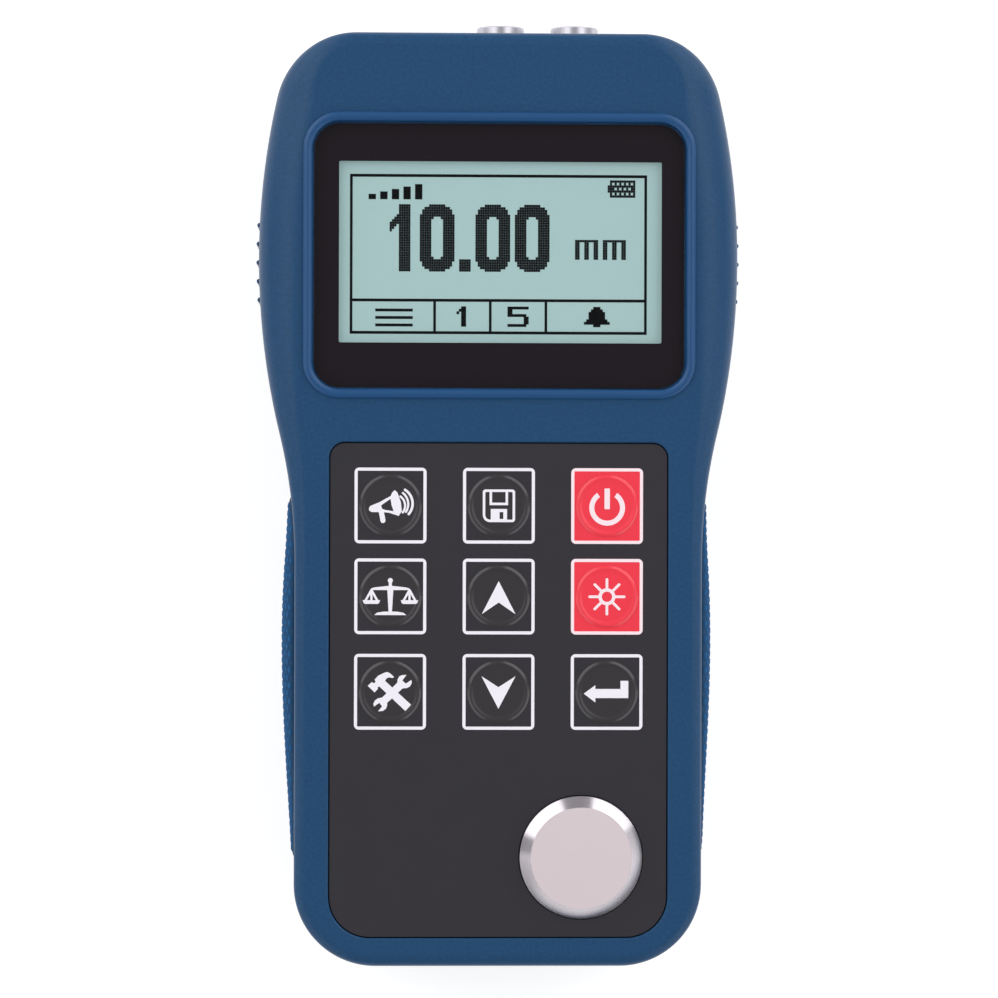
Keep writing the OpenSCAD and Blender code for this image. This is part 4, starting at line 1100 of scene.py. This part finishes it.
def key_icon(name, centre, red):
    """A pictogram printed on a key. Strokes that cross lie at slightly different heights."""
    parts = []
    for k, (outer, holes) in enumerate(ICONS[name]()):
        moved = [[(x + centre[0], y + centre[1]) for x, y in loop] for loop in [outer] + holes]
        parts.append(plate(moved[0], moved[1:], PANEL_TOP, PANEL_TOP + PRINT_T + ICON_STEP * k))
    verts, faces = joined(*parts)
    verts = [(x, y, z + key_height(math.hypot(x - centre[0], y - centre[1]))) for x, y, z in verts]
    make_piece("icon_" + name, verts, faces, PINK_PRINT if red else WHITE_PRINT, name + "_button", "key")


def keypad():
    """All nine keys, each with its frame and its pictogram."""
    for row, names in enumerate(KEY_GRID):
        for column, name in enumerate(names):
            centre, red = key_centre(column, row), name in RED_KEYS
            key_disc(name, centre, red)
            key_frame(name, centre, red)
            key_icon(name, centre, red)


# Floor, light and camera

def floor_material():
    """Pale paper that shows white where nothing shades it."""
    finish = Finish("pale_floor")
    finish.colour((205, 205, 205), 0.01, 40.0).set(Roughness=0.9, Specular_IOR_Level=0.1)
    nodes, link = finish.nodes, finish.link
    path = nodes.new("ShaderNodeLightPath")
    seen = nodes.new("ShaderNodeMath")
    seen.operation = "MAXIMUM"
    link(path.outputs["Is Camera Ray"], seen.inputs[0])
    either = nodes.new("ShaderNodeMath")
    either.operation = "MAXIMUM"
    link(path.outputs["Is Glossy Ray"], either.inputs[0])
    link(path.outputs["Is Transmission Ray"], either.inputs[1])
    link(either.outputs[0], seen.inputs[1])
    level = nodes.new("ShaderNodeMath")
    level.operation = "MULTIPLY"
    level.inputs[1].default_value = FLOOR_GLOW
    link(seen.outputs[0], level.inputs[0])
    glow = nodes.new("ShaderNodeEmission")
    link(level.outputs[0], glow.inputs["Strength"])
    both = nodes.new("ShaderNodeAddShader")
    link(finish.shader.outputs["BSDF"], both.inputs[0])
    link(glow.outputs["Emission"], both.inputs[1])
    link(both.outputs["Shader"], nodes["Material Output"].inputs["Surface"])
    return finish.material


def floor():
    """The stage: a wide sheet just under the gauge."""
    half = FLOOR_HALF
    corners = [(-half, -half, 0), (half, -half, 0), (half, half, 0), (-half, half, 0)]
    mesh = bpy.data.meshes.new("floor")
    mesh.from_pydata(corners, [], [(0, 1, 2, 3)])
    mesh.materials.append(floor_material())
    obj = bpy.data.objects.new("floor", mesh)
    obj.location.z = -FLOOR_DROP
    bpy.context.scene.collection.objects.link(obj)


def soft_box(name, azimuth, elevation, size, watts, distance):
    """A rectangular lamp that faces the gauge from a direction in degrees."""
    lamp = bpy.data.lights.new(name, "AREA")
    lamp.shape = "RECTANGLE"
    lamp.size, lamp.size_y = size
    lamp.energy = watts
    obj = bpy.data.objects.new(name, lamp)
    level = distance * math.cos(math.radians(elevation))
    obj.location = (*polar((0, 0), level, azimuth), distance * math.sin(math.radians(elevation)))
    obj.rotation_mode = "QUATERNION"
    obj.rotation_quaternion = (-obj.location).to_track_quat("-Z", "Y")
    bpy.context.scene.collection.objects.link(obj)


def light():
    """An even white surround and six soft lamps."""
    world = bpy.data.worlds.new("studio")
    bpy.context.scene.world = world
    world.use_nodes = True
    background = world.node_tree.nodes["Background"]
    background.inputs["Color"].default_value = (1, 1, 1, 1)
    background.inputs["Strength"].default_value = WORLD_LEVEL
    for name, values in LAMPS.items():
        soft_box(name, *values)


def camera():
    """The photo's view: nearly straight down, with the sockets at the top."""
    view = bpy.data.cameras.new("photo_view")
    view.sensor_width = SENSOR
    view.lens = FOCAL_PX / PHOTO_PX * SENSOR
    view.clip_start, view.clip_end = 0.01, 20
    obj = bpy.data.objects.new("photo_view", view)
    place, target = Vector(VIEW_PLACE), Vector(VIEW_TARGET)
    obj.location = place
    obj.rotation_mode = "QUATERNION"
    back = (place - target).normalized()
    right = Vector((0, 1, 0)).cross(back).normalized()
    aim = Matrix((right, back.cross(right), back)).transposed().to_quaternion()
    obj.rotation_quaternion = aim @ Quaternion((0, 0, 1), math.radians(VIEW_ROLL))
    bpy.context.scene.collection.objects.link(obj)
    bpy.context.scene.camera = obj


bpy.context.scene.view_settings.view_transform = "Standard"
dress_solids()
front_shell()
grip_pad("left_grip", -1)
grip_pad("right_grip", 1)
window_lens()
lens_mask()
display_dots()
keypad()
floor()
light()
camera()
